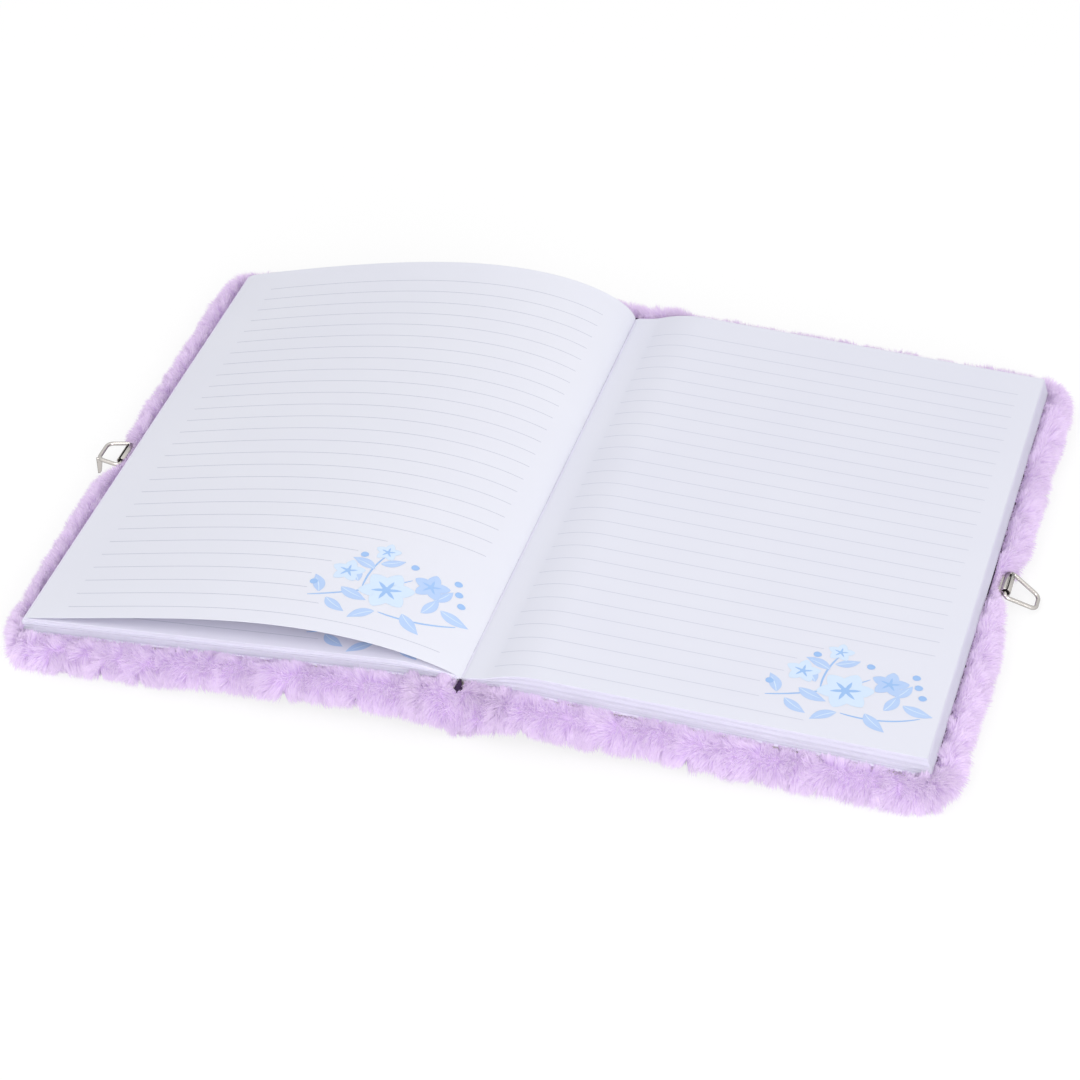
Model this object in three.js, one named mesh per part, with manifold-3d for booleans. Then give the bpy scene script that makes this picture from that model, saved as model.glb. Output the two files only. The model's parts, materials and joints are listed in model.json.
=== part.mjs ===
// A plush-covered notebook lying open. Units are mm, +X runs across the spread, +Y towards
// the head of the pages and +Z up. The origin is on the table, under the gutter.
// Each half is built flat in a frame of its own, at the pivot of its leaves: X outwards,
// Z square to the page. The half is then tilted so that its cover droops to the table.
import * as THREE from "three";
import { mergeVertices } from "three/addons/utils/BufferGeometryUtils.js";
import Module from "manifold-3d";

const wasm = await Module();
wasm.setup();

// Driving dimensions
const PAGE_WIDTH = 143.5; // gutter to fore edge, in plan
const PAGE_HEIGHT = 210;
const SHEET_FAN = 2; // how far the lowest sheet reaches past the top one
const GATHERING = 1.34; // thickness of one sewn gathering
const FRONT_GATHERINGS = 3; // whole gatherings left of the opening
const BACK_GATHERINGS = 4;
const FLYLEAF = 0.2;
const PASTEDOWN = 0.3;
const BOARD = 2;
const BOARD_MARGIN = 3; // board past the page edge
const PLUSH_UNDER = 5.9; // padding and pile under a board
const PLUSH_MARGIN = 11; // plush past the page edge
const PLUSH_CORNER = 14;
const PLUSH_ROUND = 3.6; // rounding of the plush edge
const RIM_RISE = 1.2; // plush rim over the cover's inner face
const DROOP = THREE.MathUtils.degToRad(3.2); // of each cover, gutter to fore edge
const EDGE_PRESS = 0.358; // plush flattened by the table at the edge of the back cover
const LEAF_START = 3; // where the free part of a leaf begins, from its pivot
const GUTTER_DIP = 15; // length over which the leaves bend down to the gutter
const HINGE_OFFSET = 1; // cover pivot, outwards and down from the leaf pivot
const COVER_START = 4.2; // where cover material begins, from the cover pivot
const JOINT_GROOVE = 1.8; // bare plush between that and the board
const SPINE_CARD = 2;
const SPINE_LINING = 0.4;
const SPINE_PILLOW_HALF = 21; // half width of the plush roll under the spine
const FREE_LEAF = 0.3; // the one leaf that stands free
const FREE_LEAF_RISE = 12.8;
const WIRE_R = 0.7;
const BARREL_R = 1.7;
const BARREL_LENGTH = 9.2;
const CLIP_THICK = 0.6;
const LOOP_BASE = 13.5; // wire loop, width at the barrel, over the wire's middle
const FRONT_LOOP_TIP = 9.2; // the front loop is shorter and blunter than the back one
const FRONT_LOOP_LENGTH = 8.3;
const BACK_LOOP_TIP = 6.8;
const BACK_LOOP_LENGTH = 11.3;
const LOOP_Y = -4;
const TONGUE_LENGTH = 5.9; // flat end that hangs from a corner of the front loop
const TONGUE_TOP = 2.2;
const TONGUE_TIP = 1.1;
const TONGUE_THICK = 0.6;
const THREAD_R = 0.25;

// Clearances
const SEAT = 0.05; // between layers that lie on each other in a tilted half
const COVER_GAP = 0.1; // leaves over the cover
const FIT = 0.3; // beside cut or turning pieces
const WIRE_CLEAR = 0.3;

// Derived
const blockThickness = (whole) => FLYLEAF + (whole + 0.5) * GATHERING;
const halfHeight = PAGE_HEIGHT / 2;
const outerY = halfHeight + PLUSH_MARGIN;
const coverUnder = COVER_GAP + PASTEDOWN + SEAT + BOARD + SEAT + PLUSH_UNDER;
const backPivotX = blockThickness(BACK_GATHERINGS) + COVER_GAP;
// Underside of the leaves at the gutter, over the table: both covers droop from there until
// their outer edges lie on the table
const pivotHeight = coverUnder * Math.cos(DROOP) +
  (PAGE_WIDTH + PLUSH_MARGIN - backPivotX) * Math.sin(DROOP) - EDGE_PRESS;
const boardTop = -COVER_GAP - PASTEDOWN - SEAT;
const boardUnder = boardTop - BOARD;
const coverStart = HINGE_OFFSET + COVER_START;
const foldsTop = pivotHeight + LEAF_START - FIT;
const foldsBase = pivotHeight - SPINE_LINING - 0.2;
const cardTop = foldsBase - SPINE_LINING;
const cardUnder = cardTop - SPINE_CARD;
const barrelW = boardTop - CLIP_THICK / 2;

const FINISH = {
  plush: { color: 0xdcc3eb, roughness: 1 },
  board: { color: 0xb9b2a8, roughness: 0.9 },
  paper: { color: 0xe6e6f2, roughness: 0.85 },
  endpaper: { color: 0xe9e4f4, roughness: 0.85 },
  lining: { color: 0xf1efe8, roughness: 0.95 },
  band: { color: 0x4a2f5c, roughness: 0.9 },
  thread: { color: 0xd9d9e4, roughness: 0.8 },
  wire: { color: 0xc3c3c8, roughness: 0.25, metalness: 1 },
};

const root = new THREE.Group();
root.name = "plush_notebook";

function add(parent, name, finish, geometry) {
  const mesh = new THREE.Mesh(geometry, new THREE.MeshStandardMaterial(FINISH[finish]));
  mesh.name = name;
  parent.add(mesh);
  return mesh;
}

// A closed outline in X and Z, drawn out along Y.
function prism(points, length, middle = 0) {
  const shape = new THREE.Shape(points.map(([x, z]) => new THREE.Vector2(x, z)));
  return new THREE.ExtrudeGeometry(shape, { depth: length, bevelEnabled: false })
    .rotateX(Math.PI / 2)
    .translate(0, middle + length / 2, 0);
}

// A rectangle in X and Y whose outer corners, at high X, are rounded.
function outline(x0, x1, y1, corner, y0 = -y1) {
  const s = new THREE.Shape();
  s.moveTo(x0, y0);
  s.lineTo(x1 - corner, y0);
  if (corner > 0) s.absarc(x1 - corner, y0 + corner, corner, -Math.PI / 2, 0, false);
  s.lineTo(x1, y1 - corner);
  if (corner > 0) s.absarc(x1 - corner, y1 - corner, corner, 0, Math.PI / 2, false);
  s.lineTo(x0, y1);
  s.closePath();
  return s;
}

function plate(shape, under, thickness, segments = 5) {
  return new THREE.ExtrudeGeometry(shape, {
    depth: thickness,
    bevelEnabled: false,
    curveSegments: segments,
  }).translate(0, 0, under);
}

function block(x0, x1, y0, y1, z0, z1) {
  return new THREE.BoxGeometry(x1 - x0, y1 - y0, z1 - z0).translate(
    (x0 + x1) / 2,
    (y0 + y1) / 2,
    (z0 + z1) / 2,
  );
}

function solid(geometry) {
  const bare = new THREE.BufferGeometry().setAttribute(
    "position",
    (geometry.index ? geometry.toNonIndexed() : geometry).getAttribute("position"),
  );
  const merged = mergeVertices(bare, 1e-4);
  return new wasm.Manifold(
    new wasm.Mesh({
      numProp: 3,
      vertProperties: new Float32Array(merged.attributes.position.array),
      triVerts: new Uint32Array(merged.index.array),
    }),
  );
}

function geometryOf(body) {
  const mesh = body.getMesh();
  return new THREE.BufferGeometry()
    .setAttribute("position", new THREE.BufferAttribute(new Float32Array(mesh.vertProperties), 3))
    .setIndex(new THREE.BufferAttribute(new Uint32Array(mesh.triVerts), 1));
}

// The share of its full height that the block has at distance x from the leaf pivot.
function dipShare(x, thickness) {
  const least = (LEAF_START - COVER_GAP) / thickness;
  const q = Math.min(1, (x - LEAF_START) / GUTTER_DIP);
  return 1 - (1 - least) * (1 - q) ** 2;
}

// A flat tapered end under the loop's near outer corner.
function tongue(length, tip) {
  const outer = length + WIRE_R - 0.05;
  const top = WIRE_R / 2;
  return prism([
    [outer - TONGUE_TOP, top],
    [outer - TONGUE_TOP + 0.2, -TONGUE_LENGTH / 3],
    [outer - TONGUE_TIP, -TONGUE_LENGTH],
    [outer - 0.3, -TONGUE_LENGTH + 0.4],
    [outer, -TONGUE_LENGTH / 3],
    [outer - 0.3, top],
  ], TONGUE_THICK, -tip / 2);
}

// One layer of the page block, between two heights that fall together at the gutter.
function layer(low, high, thickness, edge) {
  const fore = (z) => edge + SHEET_FAN * (1 - z / thickness);
  const steps = 8;
  const under = [];
  const over = [];
  for (let i = 0; i <= steps; i++) {
    const x = LEAF_START + (GUTTER_DIP * i) / steps;
    const share = dipShare(x, thickness);
    under.push([x, low * share]);
    over.unshift([x, high * share]);
  }
  return prism([...under, [fore(low), low], [fore(high), high], ...over], PAGE_HEIGHT);
}

// The wire loop lies in X and Y, its base along Y through the origin.
function wireLoop(length, tip) {
  const base = LOOP_BASE / 2;
  const corners = [
    new THREE.Vector3(0, -base, 0),
    new THREE.Vector3(length, -tip / 2, 0),
    new THREE.Vector3(length, tip / 2, 0),
    new THREE.Vector3(0, base, 0),
  ];
  const bend = 1.6;
  const path = new THREE.CurvePath();
  corners.forEach((corner, i) => {
    const before = corners[(i + 3) % 4];
    const after = corners[(i + 1) % 4];
    const enter = before.clone().sub(corner).setLength(bend).add(corner);
    const leave = after.clone().sub(corner).setLength(bend).add(corner);
    const ahead = corner.clone().sub(after).setLength(bend).add(after);
    path.add(new THREE.QuadraticBezierCurve3(enter, corner, leave));
    path.add(new THREE.LineCurve3(leave, ahead));
  });
  return new THREE.TubeGeometry(path, 64, WIRE_R, 10, true);
}

function addHalf(side, words, whole, loopOut, loopDroop, loop) {
  const thickness = blockThickness(whole);
  const pivotX = thickness + COVER_GAP;
  const half = new THREE.Group();
  half.name = words + "_half";
  half.position.set(side * pivotX, 0, pivotHeight);
  half.rotation.y = side * DROOP;
  half.scale.x = side;
  root.add(half);

  const edge = PAGE_WIDTH - pivotX;
  const boardStart = coverStart + JOINT_GROOVE;
  const boardEnd = edge + BOARD_MARGIN;
  const plushEnd = edge + PLUSH_MARGIN;
  const pastedownEnd = edge + SHEET_FAN - 0.5;
  const pastedownY = halfHeight + 0.8;
  const barrelX = edge + loopOut;

  // Page block: flyleaf, whole gatherings, then the half of the opened one
  add(half, words + "_flyleaf", "endpaper", layer(0, FLYLEAF - SEAT, thickness, edge));
  let low = FLYLEAF;
  for (let i = 1; i <= whole; i++) {
    add(half, words + "_gathering_" + i, "paper",
      layer(low, low + GATHERING - SEAT, thickness, edge));
    low += GATHERING;
  }
  add(half, words + "_middle_half_gathering", "paper",
    layer(low, thickness, thickness, edge));

  // Cover: plush turned in over the board, board with a seat for the clip, pastedown
  const clipX0 = boardEnd - 9;
  const clipHalf = BARREL_LENGTH / 2;
  const clipSeat = block(clipX0 - SEAT, boardEnd + 1, LOOP_Y - clipHalf - SEAT,
    LOOP_Y + clipHalf + SEAT, boardTop - CLIP_THICK - SEAT, boardTop + 1);
  const board = solid(plate(outline(boardStart, boardEnd, halfHeight + BOARD_MARGIN, 3),
    boardUnder, BOARD));
  add(half, words + "_board", "board", geometryOf(board.subtract(solid(clipSeat))));
  add(half, words + "_pastedown", "endpaper",
    block(coverStart, pastedownEnd, -pastedownY, pastedownY,
      -COVER_GAP - PASTEDOWN, -COVER_GAP));

  const bevelled = new THREE.ExtrudeGeometry(
    outline(coverStart - 12 + PLUSH_ROUND, plushEnd - PLUSH_ROUND, outerY - PLUSH_ROUND,
      PLUSH_CORNER - PLUSH_ROUND),
    {
      depth: coverUnder + RIM_RISE - 2 * PLUSH_ROUND,
      bevelThickness: PLUSH_ROUND,
      bevelSize: PLUSH_ROUND,
      bevelSegments: 5,
      curveSegments: 7,
    },
  ).translate(0, 0, -coverUnder + PLUSH_ROUND);
  const far = 400;
  // The table, seen from the tilted half
  const table = new THREE.BoxGeometry(far, far, 20)
    .translate(0, 0, -10 - pivotHeight)
    .rotateY(-DROOP);
  const cuts = [
    block(-far, coverStart, -far, far, -far, far),
    table,
    // room for the pages, with what they slide outwards when the book shuts
    block(0, edge + SHEET_FAN + 2 * HINGE_OFFSET + FIT, -pastedownY - FIT,
      pastedownY + FIT, -COVER_GAP - PASTEDOWN - SEAT / 2, far),
    plate(outline(0, boardEnd + SEAT, halfHeight + BOARD_MARGIN + SEAT, 3),
      boardUnder - SEAT, BOARD + 2 * SEAT),
    // the gap at the fore edge where the wire loop swings
    block(boardEnd + SEAT, far, LOOP_Y - LOOP_BASE / 2 - 2.4, LOOP_Y + LOOP_BASE / 2 + 2.4,
      barrelW - 5.2, far),
    clipSeat,
  ];
  let plush = solid(bevelled);
  for (const cut of cuts) plush = plush.subtract(solid(cut));
  add(half, words + "_cover_plush", "plush", geometryOf(plush));

  // Clip: a strip let into the board, rolled to a barrel that holds the wire
  const ring = new THREE.Shape().absarc(0, 0, BARREL_R, 0, 2 * Math.PI, false);
  const barrel = new THREE.ExtrudeGeometry(ring, {
    depth: BARREL_LENGTH,
    bevelEnabled: false,
    curveSegments: 12,
  })
    .rotateX(Math.PI / 2)
    .translate(barrelX, LOOP_Y + clipHalf, barrelW);
  const strip = block(clipX0, barrelX, LOOP_Y - clipHalf, LOOP_Y + clipHalf,
    barrelW - CLIP_THICK / 2, barrelW + CLIP_THICK / 2);
  const hole = new THREE.CylinderGeometry(WIRE_R + WIRE_CLEAR, WIRE_R + WIRE_CLEAR,
    BARREL_LENGTH + 4, 20).translate(barrelX, LOOP_Y, barrelW);
  add(half, words + "_loop_clip", "wire",
    geometryOf(solid(barrel).add(solid(strip)).subtract(solid(hole))));
  add(half, words + "_wire_loop", "wire",
    loop.rotateY(loopDroop - DROOP).translate(barrelX, LOOP_Y, barrelW));
  return { half, thickness, pivotX, edge };
}

const frontLoop = geometryOf(
  solid(wireLoop(FRONT_LOOP_LENGTH, FRONT_LOOP_TIP)).add(
    solid(tongue(FRONT_LOOP_LENGTH, FRONT_LOOP_TIP))));
const backLoop = wireLoop(BACK_LOOP_LENGTH, BACK_LOOP_TIP);
const front = addHalf(-1, "front", FRONT_GATHERINGS, 5.6, 0, frontLoop);
const back = addHalf(1, "back", BACK_GATHERINGS, 7.1, THREE.MathUtils.degToRad(30), backLoop);

// The leaf that stands free over the front block, bowed by its spring
function freeLeaf() {
  const start = [-front.pivotX + 0.6, LEAF_START + 0.1];
  const end = [front.edge - 1, front.thickness + 0.15];
  const steps = 36;
  const under = [];
  const over = [];
  for (let i = 0; i <= steps; i++) {
    const s = (i / steps) ** 1.5;
    const bow = FREE_LEAF_RISE * Math.sin(Math.PI * s ** 0.72) ** 1.1 || 0;
    const x = start[0] + (end[0] - start[0]) * s;
    const z = start[1] + (end[1] - start[1]) * s + bow;
    under.push([x, z]);
    over.unshift([x, z + FREE_LEAF]);
  }
  return prism([...under, ...over], PAGE_HEIGHT);
}
add(front.half, "free_leaf", "paper", freeLeaf());

// Stitched backs of all gatherings: one ridge for each, and a notch at the opening
function foldedBacks() {
  const reach = 1.8;
  const x0 = -front.pivotX - reach;
  const x1 = back.pivotX + reach;
  const shoulder = (x, pivot) => {
    const past = Math.abs(x) - pivot;
    return past <= 0 ? foldsTop
      : pivotHeight + Math.sqrt((LEAF_START - FIT) ** 2 - past ** 2);
  };
  const points = [[x0, foldsBase], [x1, foldsBase]];
  const steps = 64;
  for (let i = steps; i >= 0; i--) {
    const x = x0 + ((x1 - x0) * i) / steps;
    const top = shoulder(x, x < 0 ? front.pivotX : back.pivotX);
    const ridge = 0.25 * Math.sin((Math.PI * x) / GATHERING) ** 2;
    const notch = 1.3 * Math.max(0, 1 - Math.abs(x) / 0.9);
    points.push([x, top - 0.25 + ridge - notch]);
  }
  return prism(points, PAGE_HEIGHT);
}
add(root, "folded_backs", "paper", foldedBacks());

const spineX0 = -front.pivotX - 1.6;
const spineX1 = back.pivotX + 1.6;
add(root, "spine_lining", "lining",
  block(spineX0, spineX1, -halfHeight + 6, halfHeight - 6, cardTop, foldsBase));
add(root, "spine_card", "board",
  block(spineX0 - 0.4, spineX1 + 0.4, -halfHeight - BOARD_MARGIN, halfHeight + BOARD_MARGIN,
    cardUnder, cardTop));

// Plush roll under the spine: a pillow on the table with a rib that holds the card
function spinePlush() {
  const under = (x, pivot) =>
    pivotHeight - coverUnder * Math.cos(DROOP) - (x - pivot) * Math.tan(DROOP) - FIT - 0.1;
  const sideOf = (pivot) => {
    const rib = pivot + coverStart - coverUnder * Math.sin(DROOP) - FIT;
    return [
      [SPINE_PILLOW_HALF - 4, 0],
      [SPINE_PILLOW_HALF - 1.2, 1.2],
      [SPINE_PILLOW_HALF, 3.4],
      [SPINE_PILLOW_HALF - 0.8, under(SPINE_PILLOW_HALF, pivot) - 0.9],
      [SPINE_PILLOW_HALF - 3, under(SPINE_PILLOW_HALF, pivot)],
      [rib, under(rib, pivot)],
      [rib, pivotHeight - 0.6],
      [pivot + 2.3, pivotHeight - 0.6],
      [pivot + 2.3, cardUnder],
    ];
  };
  const right = sideOf(back.pivotX);
  const left = sideOf(front.pivotX).reverse().map(([x, z]) => [-x, z]);
  return prism([...right, ...left], 2 * outerY);
}
add(root, "spine_plush", "plush", spinePlush());

// Bands that close the ends of the folded backs
for (const [name, end] of [["head_band", 1], ["tail_band", -1]]) {
  const radius = 1.1;
  const width = front.pivotX + back.pivotX + 1;
  const half = new THREE.Shape();
  half.moveTo(-radius, 0);
  half.lineTo(radius, 0);
  half.lineTo(radius, 1.4);
  half.absarc(0, 1.4, radius, 0, Math.PI, false);
  half.closePath();
  const geometry = new THREE.ExtrudeGeometry(half, {
    depth: width,
    bevelEnabled: false,
    curveSegments: 8,
  })
    .rotateX(Math.PI / 2)
    .rotateZ(Math.PI / 2)
    .translate(spineX0 + 1.1, end * (halfHeight + radius), cardTop);
  add(root, name, "band", geometry);
}

// Sewing thread along the opening, up out of the fold at each stitch
function sewingThread() {
  const stations = 6;
  const pitch = (PAGE_HEIGHT - 30) / stations;
  const points = [];
  const lie = foldsTop - 0.25 - 0.75;
  for (let i = 0; i <= stations * 4; i++) {
    const y = -halfHeight + 15 + (i * pitch) / 4;
    points.push(new THREE.Vector3(0, y, lie + (i % 4 < 2 ? 0.25 : 0)));
  }
  const path = new THREE.CatmullRomCurve3(points);
  const round = new THREE.Shape().absarc(0, 0, THREAD_R, 0, 2 * Math.PI, false);
  return new THREE.ExtrudeGeometry(round, {
    steps: 96,
    curveSegments: 4,
    bevelEnabled: false,
    extrudePath: path,
  });
}
add(root, "sewing_thread", "thread", sewingThread());

export default root;
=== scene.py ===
"""Looks of the plush notebook: paper, printed rules, pile, wire loops, light and camera.

The book lies open. Each half is drawn in a plane of its own that droops from the gutter to
the fore edge: u runs from the gutter to the fore edge, y from the tail to the head, and w up
from the underside of the page block. Shapes are worked out there and then placed in the row
frame. They are in millimetres until a mesh is made, which is in metres.
"""

from __future__ import annotations

import json
import logging
import math
from dataclasses import dataclass
from enum import Enum, IntEnum

import bmesh
import bpy
import numpy as np
from mathutils import Matrix

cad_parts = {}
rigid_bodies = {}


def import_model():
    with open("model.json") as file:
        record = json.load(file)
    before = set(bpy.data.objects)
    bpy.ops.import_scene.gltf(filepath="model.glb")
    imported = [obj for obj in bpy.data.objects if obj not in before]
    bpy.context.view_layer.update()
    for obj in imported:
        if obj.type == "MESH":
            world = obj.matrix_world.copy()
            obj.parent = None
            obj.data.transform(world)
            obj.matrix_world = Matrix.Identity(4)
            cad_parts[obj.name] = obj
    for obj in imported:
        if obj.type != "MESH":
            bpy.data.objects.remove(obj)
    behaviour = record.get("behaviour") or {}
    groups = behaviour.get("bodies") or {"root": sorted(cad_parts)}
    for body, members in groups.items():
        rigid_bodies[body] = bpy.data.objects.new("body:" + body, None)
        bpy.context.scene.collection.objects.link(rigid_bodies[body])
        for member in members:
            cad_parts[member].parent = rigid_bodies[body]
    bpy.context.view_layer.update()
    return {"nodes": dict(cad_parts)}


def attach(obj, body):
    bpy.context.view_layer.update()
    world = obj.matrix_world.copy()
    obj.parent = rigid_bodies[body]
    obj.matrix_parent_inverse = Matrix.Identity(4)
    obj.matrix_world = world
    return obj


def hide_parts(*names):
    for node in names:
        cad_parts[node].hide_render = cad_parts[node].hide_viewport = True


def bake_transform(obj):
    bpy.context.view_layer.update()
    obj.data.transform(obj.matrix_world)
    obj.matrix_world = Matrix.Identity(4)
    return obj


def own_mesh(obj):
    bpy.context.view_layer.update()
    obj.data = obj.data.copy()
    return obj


LOG = logging.getLogger("plush_notebook")
MM = 0.001
# Droop of each half from level, and height of the leaf pivots over the table
DROOP = math.radians(3.2)
PIVOT_HEIGHT = 16.3
# A page in plan: from the gutter to the fore edge, and from its middle to the head
PAGE_WIDTH = 143.5
HALF_PAGE = 105.0
# From the middle to the head: the covers' outline, and the flat of their outer face
PLUSH_Y = 116.0
FACE_Y = 106.0
# Where the leaves start outside the leaf pivot, and over what width they rise from there
LEAF_START = 3.0
GUTTER_DIP = 15.0
# How much further out the lowest sheet of a half reaches than its top one
SHEET_FAN = 2.0
# Middle of the wire loops along the page
LOOP_Y = -4.0
# A cover's turned edge in section, as (distance inside the outline, w), from the inner lip
# over the top and round to the outer face
EDGE_CORNERS = (
    (10.7, -0.44),
    (8.6, -0.4),
    (6.9, -0.1),
    (5.4, -0.15),
    (3.9, -1.1),
    (3.1, -2.8),
    (3.3, -4.4),
    (4.5, -5.4),
    (7.0, -5.8),
    (12.0, -5.9),
)

Tint = tuple[int, int, int]
Span = tuple[float, float]


class Named(Enum):
    """A choice whose name is also its word in the names of pieces, nodes and bodies."""

    @property
    def word(self) -> str:
        """The name in lower case."""
        return self.name.lower()


class Side(Named):
    """The two halves of the open book, by the sign of their X."""

    FRONT = -1
    BACK = 1


class End(Named):
    """The two ends of the book, by the sign of their Y."""

    TAIL = -1
    HEAD = 1


class Slot(IntEnum):
    """Material slots of a printed sheet."""

    PAPER = 0
    RULE = 1
    WASH = 2
    LEAF = 3
    DEEP = 4
    BELOW = 5


def smooth(x: np.ndarray) -> np.ndarray:
    """Eases 0 to 1, flat at both ends: three squares less two cubes."""
    x = np.clip(x, 0.0, 1.0)
    return x * x * (3 - 2 * x)


def bell(x: np.ndarray, width: float, power: int = 2) -> np.ndarray:
    """A bell curve: e to the negative power of x over the width."""
    return np.exp(-((x / width) ** power))


def unit(v: np.ndarray) -> np.ndarray:
    """Vectors scaled to length one along the last axis."""
    return v / np.maximum(np.linalg.norm(v, axis=-1, keepdims=True), 1e-9)


def lattice(a: Span, b: Span, rows: int, columns: int) -> list[np.ndarray]:
    """Two coordinates on a grid: a changes from row to row, and b from column to column."""
    return list(np.meshgrid(np.linspace(*a, rows), np.linspace(*b, columns), indexing="ij"))


def wander(a: np.ndarray, b: np.ndarray, size: float, seed: int) -> np.ndarray:
    """Smooth noise from -1 to 1: a sum of sine waves of random direction and phase.

    Args:
        a: First coordinate, mm.
        b: Second coordinate, mm.
        size: Length of the main wave, mm.
        seed: Fixes the waves.

    Returns:
        The noise at each point.
    """
    rng = np.random.default_rng(seed)
    total = np.zeros(np.broadcast(a, b).shape)
    for octave in (1.0, 0.71, 0.53, 0.41, 0.31):
        turn = rng.uniform(0, 2 * math.pi)
        phase = rng.uniform(0, 2 * math.pi)
        wave = 2 * math.pi / (size * octave)
        total = total + np.sin((a * math.cos(turn) + b * math.sin(turn)) * wave + phase)
    return np.clip(total / 2.2, -1, 1)


def polyline(points: np.ndarray, count: int) -> np.ndarray:
    """Spreads points evenly by length along a line of corners.

    Args:
        points: The corners, one to a row.
        count: Number of points wanted.

    Returns:
        The points, one to a row.
    """
    run = np.r_[0, np.cumsum(np.linalg.norm(np.diff(points, axis=0), axis=1))]
    at = np.linspace(0, run[-1], count)
    return np.stack([np.interp(at, run, points[:, k]) for k in range(points.shape[1])], 1)


def rounded_line(corners: np.ndarray, count: int, rounds: int = 3) -> np.ndarray:
    """Rounds a line by cutting each corner at a quarter of its sides, again and again.

    Args:
        corners: The corners, one to a row.
        count: Number of points wanted.
        rounds: How often the corners are cut.

    Returns:
        The points, spread evenly.
    """
    points = np.asarray(corners, float)
    for _ in range(rounds):
        near = points[:-1] * 0.75 + points[1:] * 0.25
        far = points[:-1] * 0.25 + points[1:] * 0.75
        inner = np.stack([near, far], 1).reshape(-1, points.shape[1])
        points = np.vstack([points[:1], inner, points[-1:]])
    return polyline(points, count)


def bezier(corners: list[np.ndarray], count: int) -> np.ndarray:
    """A cubic curve from the first to the last of four control points.

    Args:
        corners: The control points, whose weights are the cubic terms of t and 1 - t.
        count: Number of points wanted.

    Returns:
        The points, one to a row.
    """
    p = np.asarray(corners, float)
    t = np.linspace(0, 1, count)[:, None]
    return (
        p[0] * (1 - t) ** 3
        + 3 * p[1] * t * (1 - t) ** 2
        + 3 * p[2] * t**2 * (1 - t)
        + p[3] * t**3
    )


# Finishes


class Nodes:
    """A short way to write the nodes of a material or of the world."""

    def __init__(self, owner: bpy.types.ID) -> None:
        """Empties the owner's node tree.

        Args:
            owner: A material or a world.
        """
        owner.use_nodes = True
        self.owner = owner
        self.tree = owner.node_tree
        self.tree.nodes.clear()

    def add(self, kind: str, **inputs: object) -> bpy.types.Node:
        """Adds a node and sets its attributes (lower case) and its inputs (upper case).

        Args:
            kind: The node's type without its common prefix.
            inputs: Values, colours or sockets. An input goes by its own name, with
                underscores for spaces, or by a letter and its number.

        Returns:
            The node.
        """
        node = self.tree.nodes.new("ShaderNode" + kind)
        for key, value in inputs.items():
            if key[0].islower():
                setattr(node, key, value)
                continue
            socket = node.inputs[int(key[1:]) if key[1:].isdigit() else key.replace("_", " ")]
            if isinstance(value, bpy.types.NodeSocket):
                self.tree.links.new(value, socket)
            else:
                socket.default_value = value
        return node

    def finish(self, shader: bpy.types.NodeSocket, output: str = "OutputMaterial") -> bpy.types.ID:
        """Joins the shader to an output of the given type, and returns the owner."""
        self.add(output, Surface=shader)
        return self.owner

    def mix(self, factor: object, a: object, b: object) -> bpy.types.NodeSocket:
        """Mixes two colours. A factor of 0 gives the first, and 1 the second."""
        return self.add("Mix", data_type="RGBA", I0=factor, I6=a, I7=b).outputs[2]

    def blend(self, factor: object, a: object, b: object) -> bpy.types.NodeSocket:
        """Mixes two shaders. A factor of 0 gives the first, and 1 the second."""
        return self.add("MixShader", I0=factor, I1=a, I2=b).outputs[0]

    def times(self, value: bpy.types.NodeSocket, by: float) -> bpy.types.NodeSocket:
        """A value times a factor."""
        return self.add("Math", operation="MULTIPLY", I0=value, I1=by).outputs[0]

    def most(self, *values: bpy.types.NodeSocket) -> bpy.types.NodeSocket:
        """Finds the greatest of several values.

        Args:
            values: The values, at least one.

        Returns:
            The greatest of them.
        """
        found = values[0]
        for value in values[1:]:
            found = self.add("Math", operation="MAXIMUM", I0=found, I1=value).outputs[0]
        return found

    def noise(self, scale: float, detail: float) -> bpy.types.NodeSocket:
        """Noise from 0 to 1 on Object coordinates: waves per metre, and number of finer layers."""
        place = self.add("TexCoord").outputs["Object"]
        return self.add("TexNoise", Vector=place, Scale=scale, Detail=detail).outputs["Fac"]


def colour(red: float, green: float, blue: float) -> tuple[float, float, float, float]:
    """Turns a screen colour into a linear one by the usual curve of screens.

    Args:
        red: From 0 to 255.
        green: From 0 to 255.
        blue: From 0 to 255.

    Returns:
        The linear colour, opaque.
    """
    c = np.array([red, green, blue]) / 255
    c = np.where(c <= 0.04045, c / 12.92, ((c + 0.055) / 1.055) ** 2.4)
    return (*map(float, c), 1.0)


def toned(tint: Tint, by: float) -> tuple[float, float, float, float]:
    """A screen colour times a factor, as a linear one."""
    return colour(*(min(255, int(c * by)) for c in tint))


@dataclass(frozen=True)
class Paper:
    """Uncoated paper with a faint cloud and a fine tooth. A single leaf lets light through."""

    name: str
    tint: Tint
    shade: Tint
    through: float = 0.0
    cloud: float = 22.0
    tooth: float = 5200.0
    tooth_depth: float = 0.00004

    def material(self) -> bpy.types.Material:
        """Builds the material: noise mixes the two tints, and finer noise bumps them.

        Returns:
            The material.
        """
        n = Nodes(bpy.data.materials.new(self.name))
        base = n.mix(n.noise(self.cloud, detail=4), colour(*self.shade), colour(*self.tint))
        tooth = n.noise(self.tooth, detail=2)
        bump = n.add("Bump", Height=tooth, Strength=0.05, Distance=self.tooth_depth)
        shader = n.add(
            "BsdfPrincipled",
            Base_Color=base,
            Roughness=0.78,
            Specular_IOR_Level=0.25,
            Normal=bump.outputs[0],
        ).outputs[0]
        if self.through:
            passed = n.add("BsdfTranslucent", Color=base).outputs[0]
            shader = n.blend(self.through, shader, passed)
        return n.finish(shader)


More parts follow.
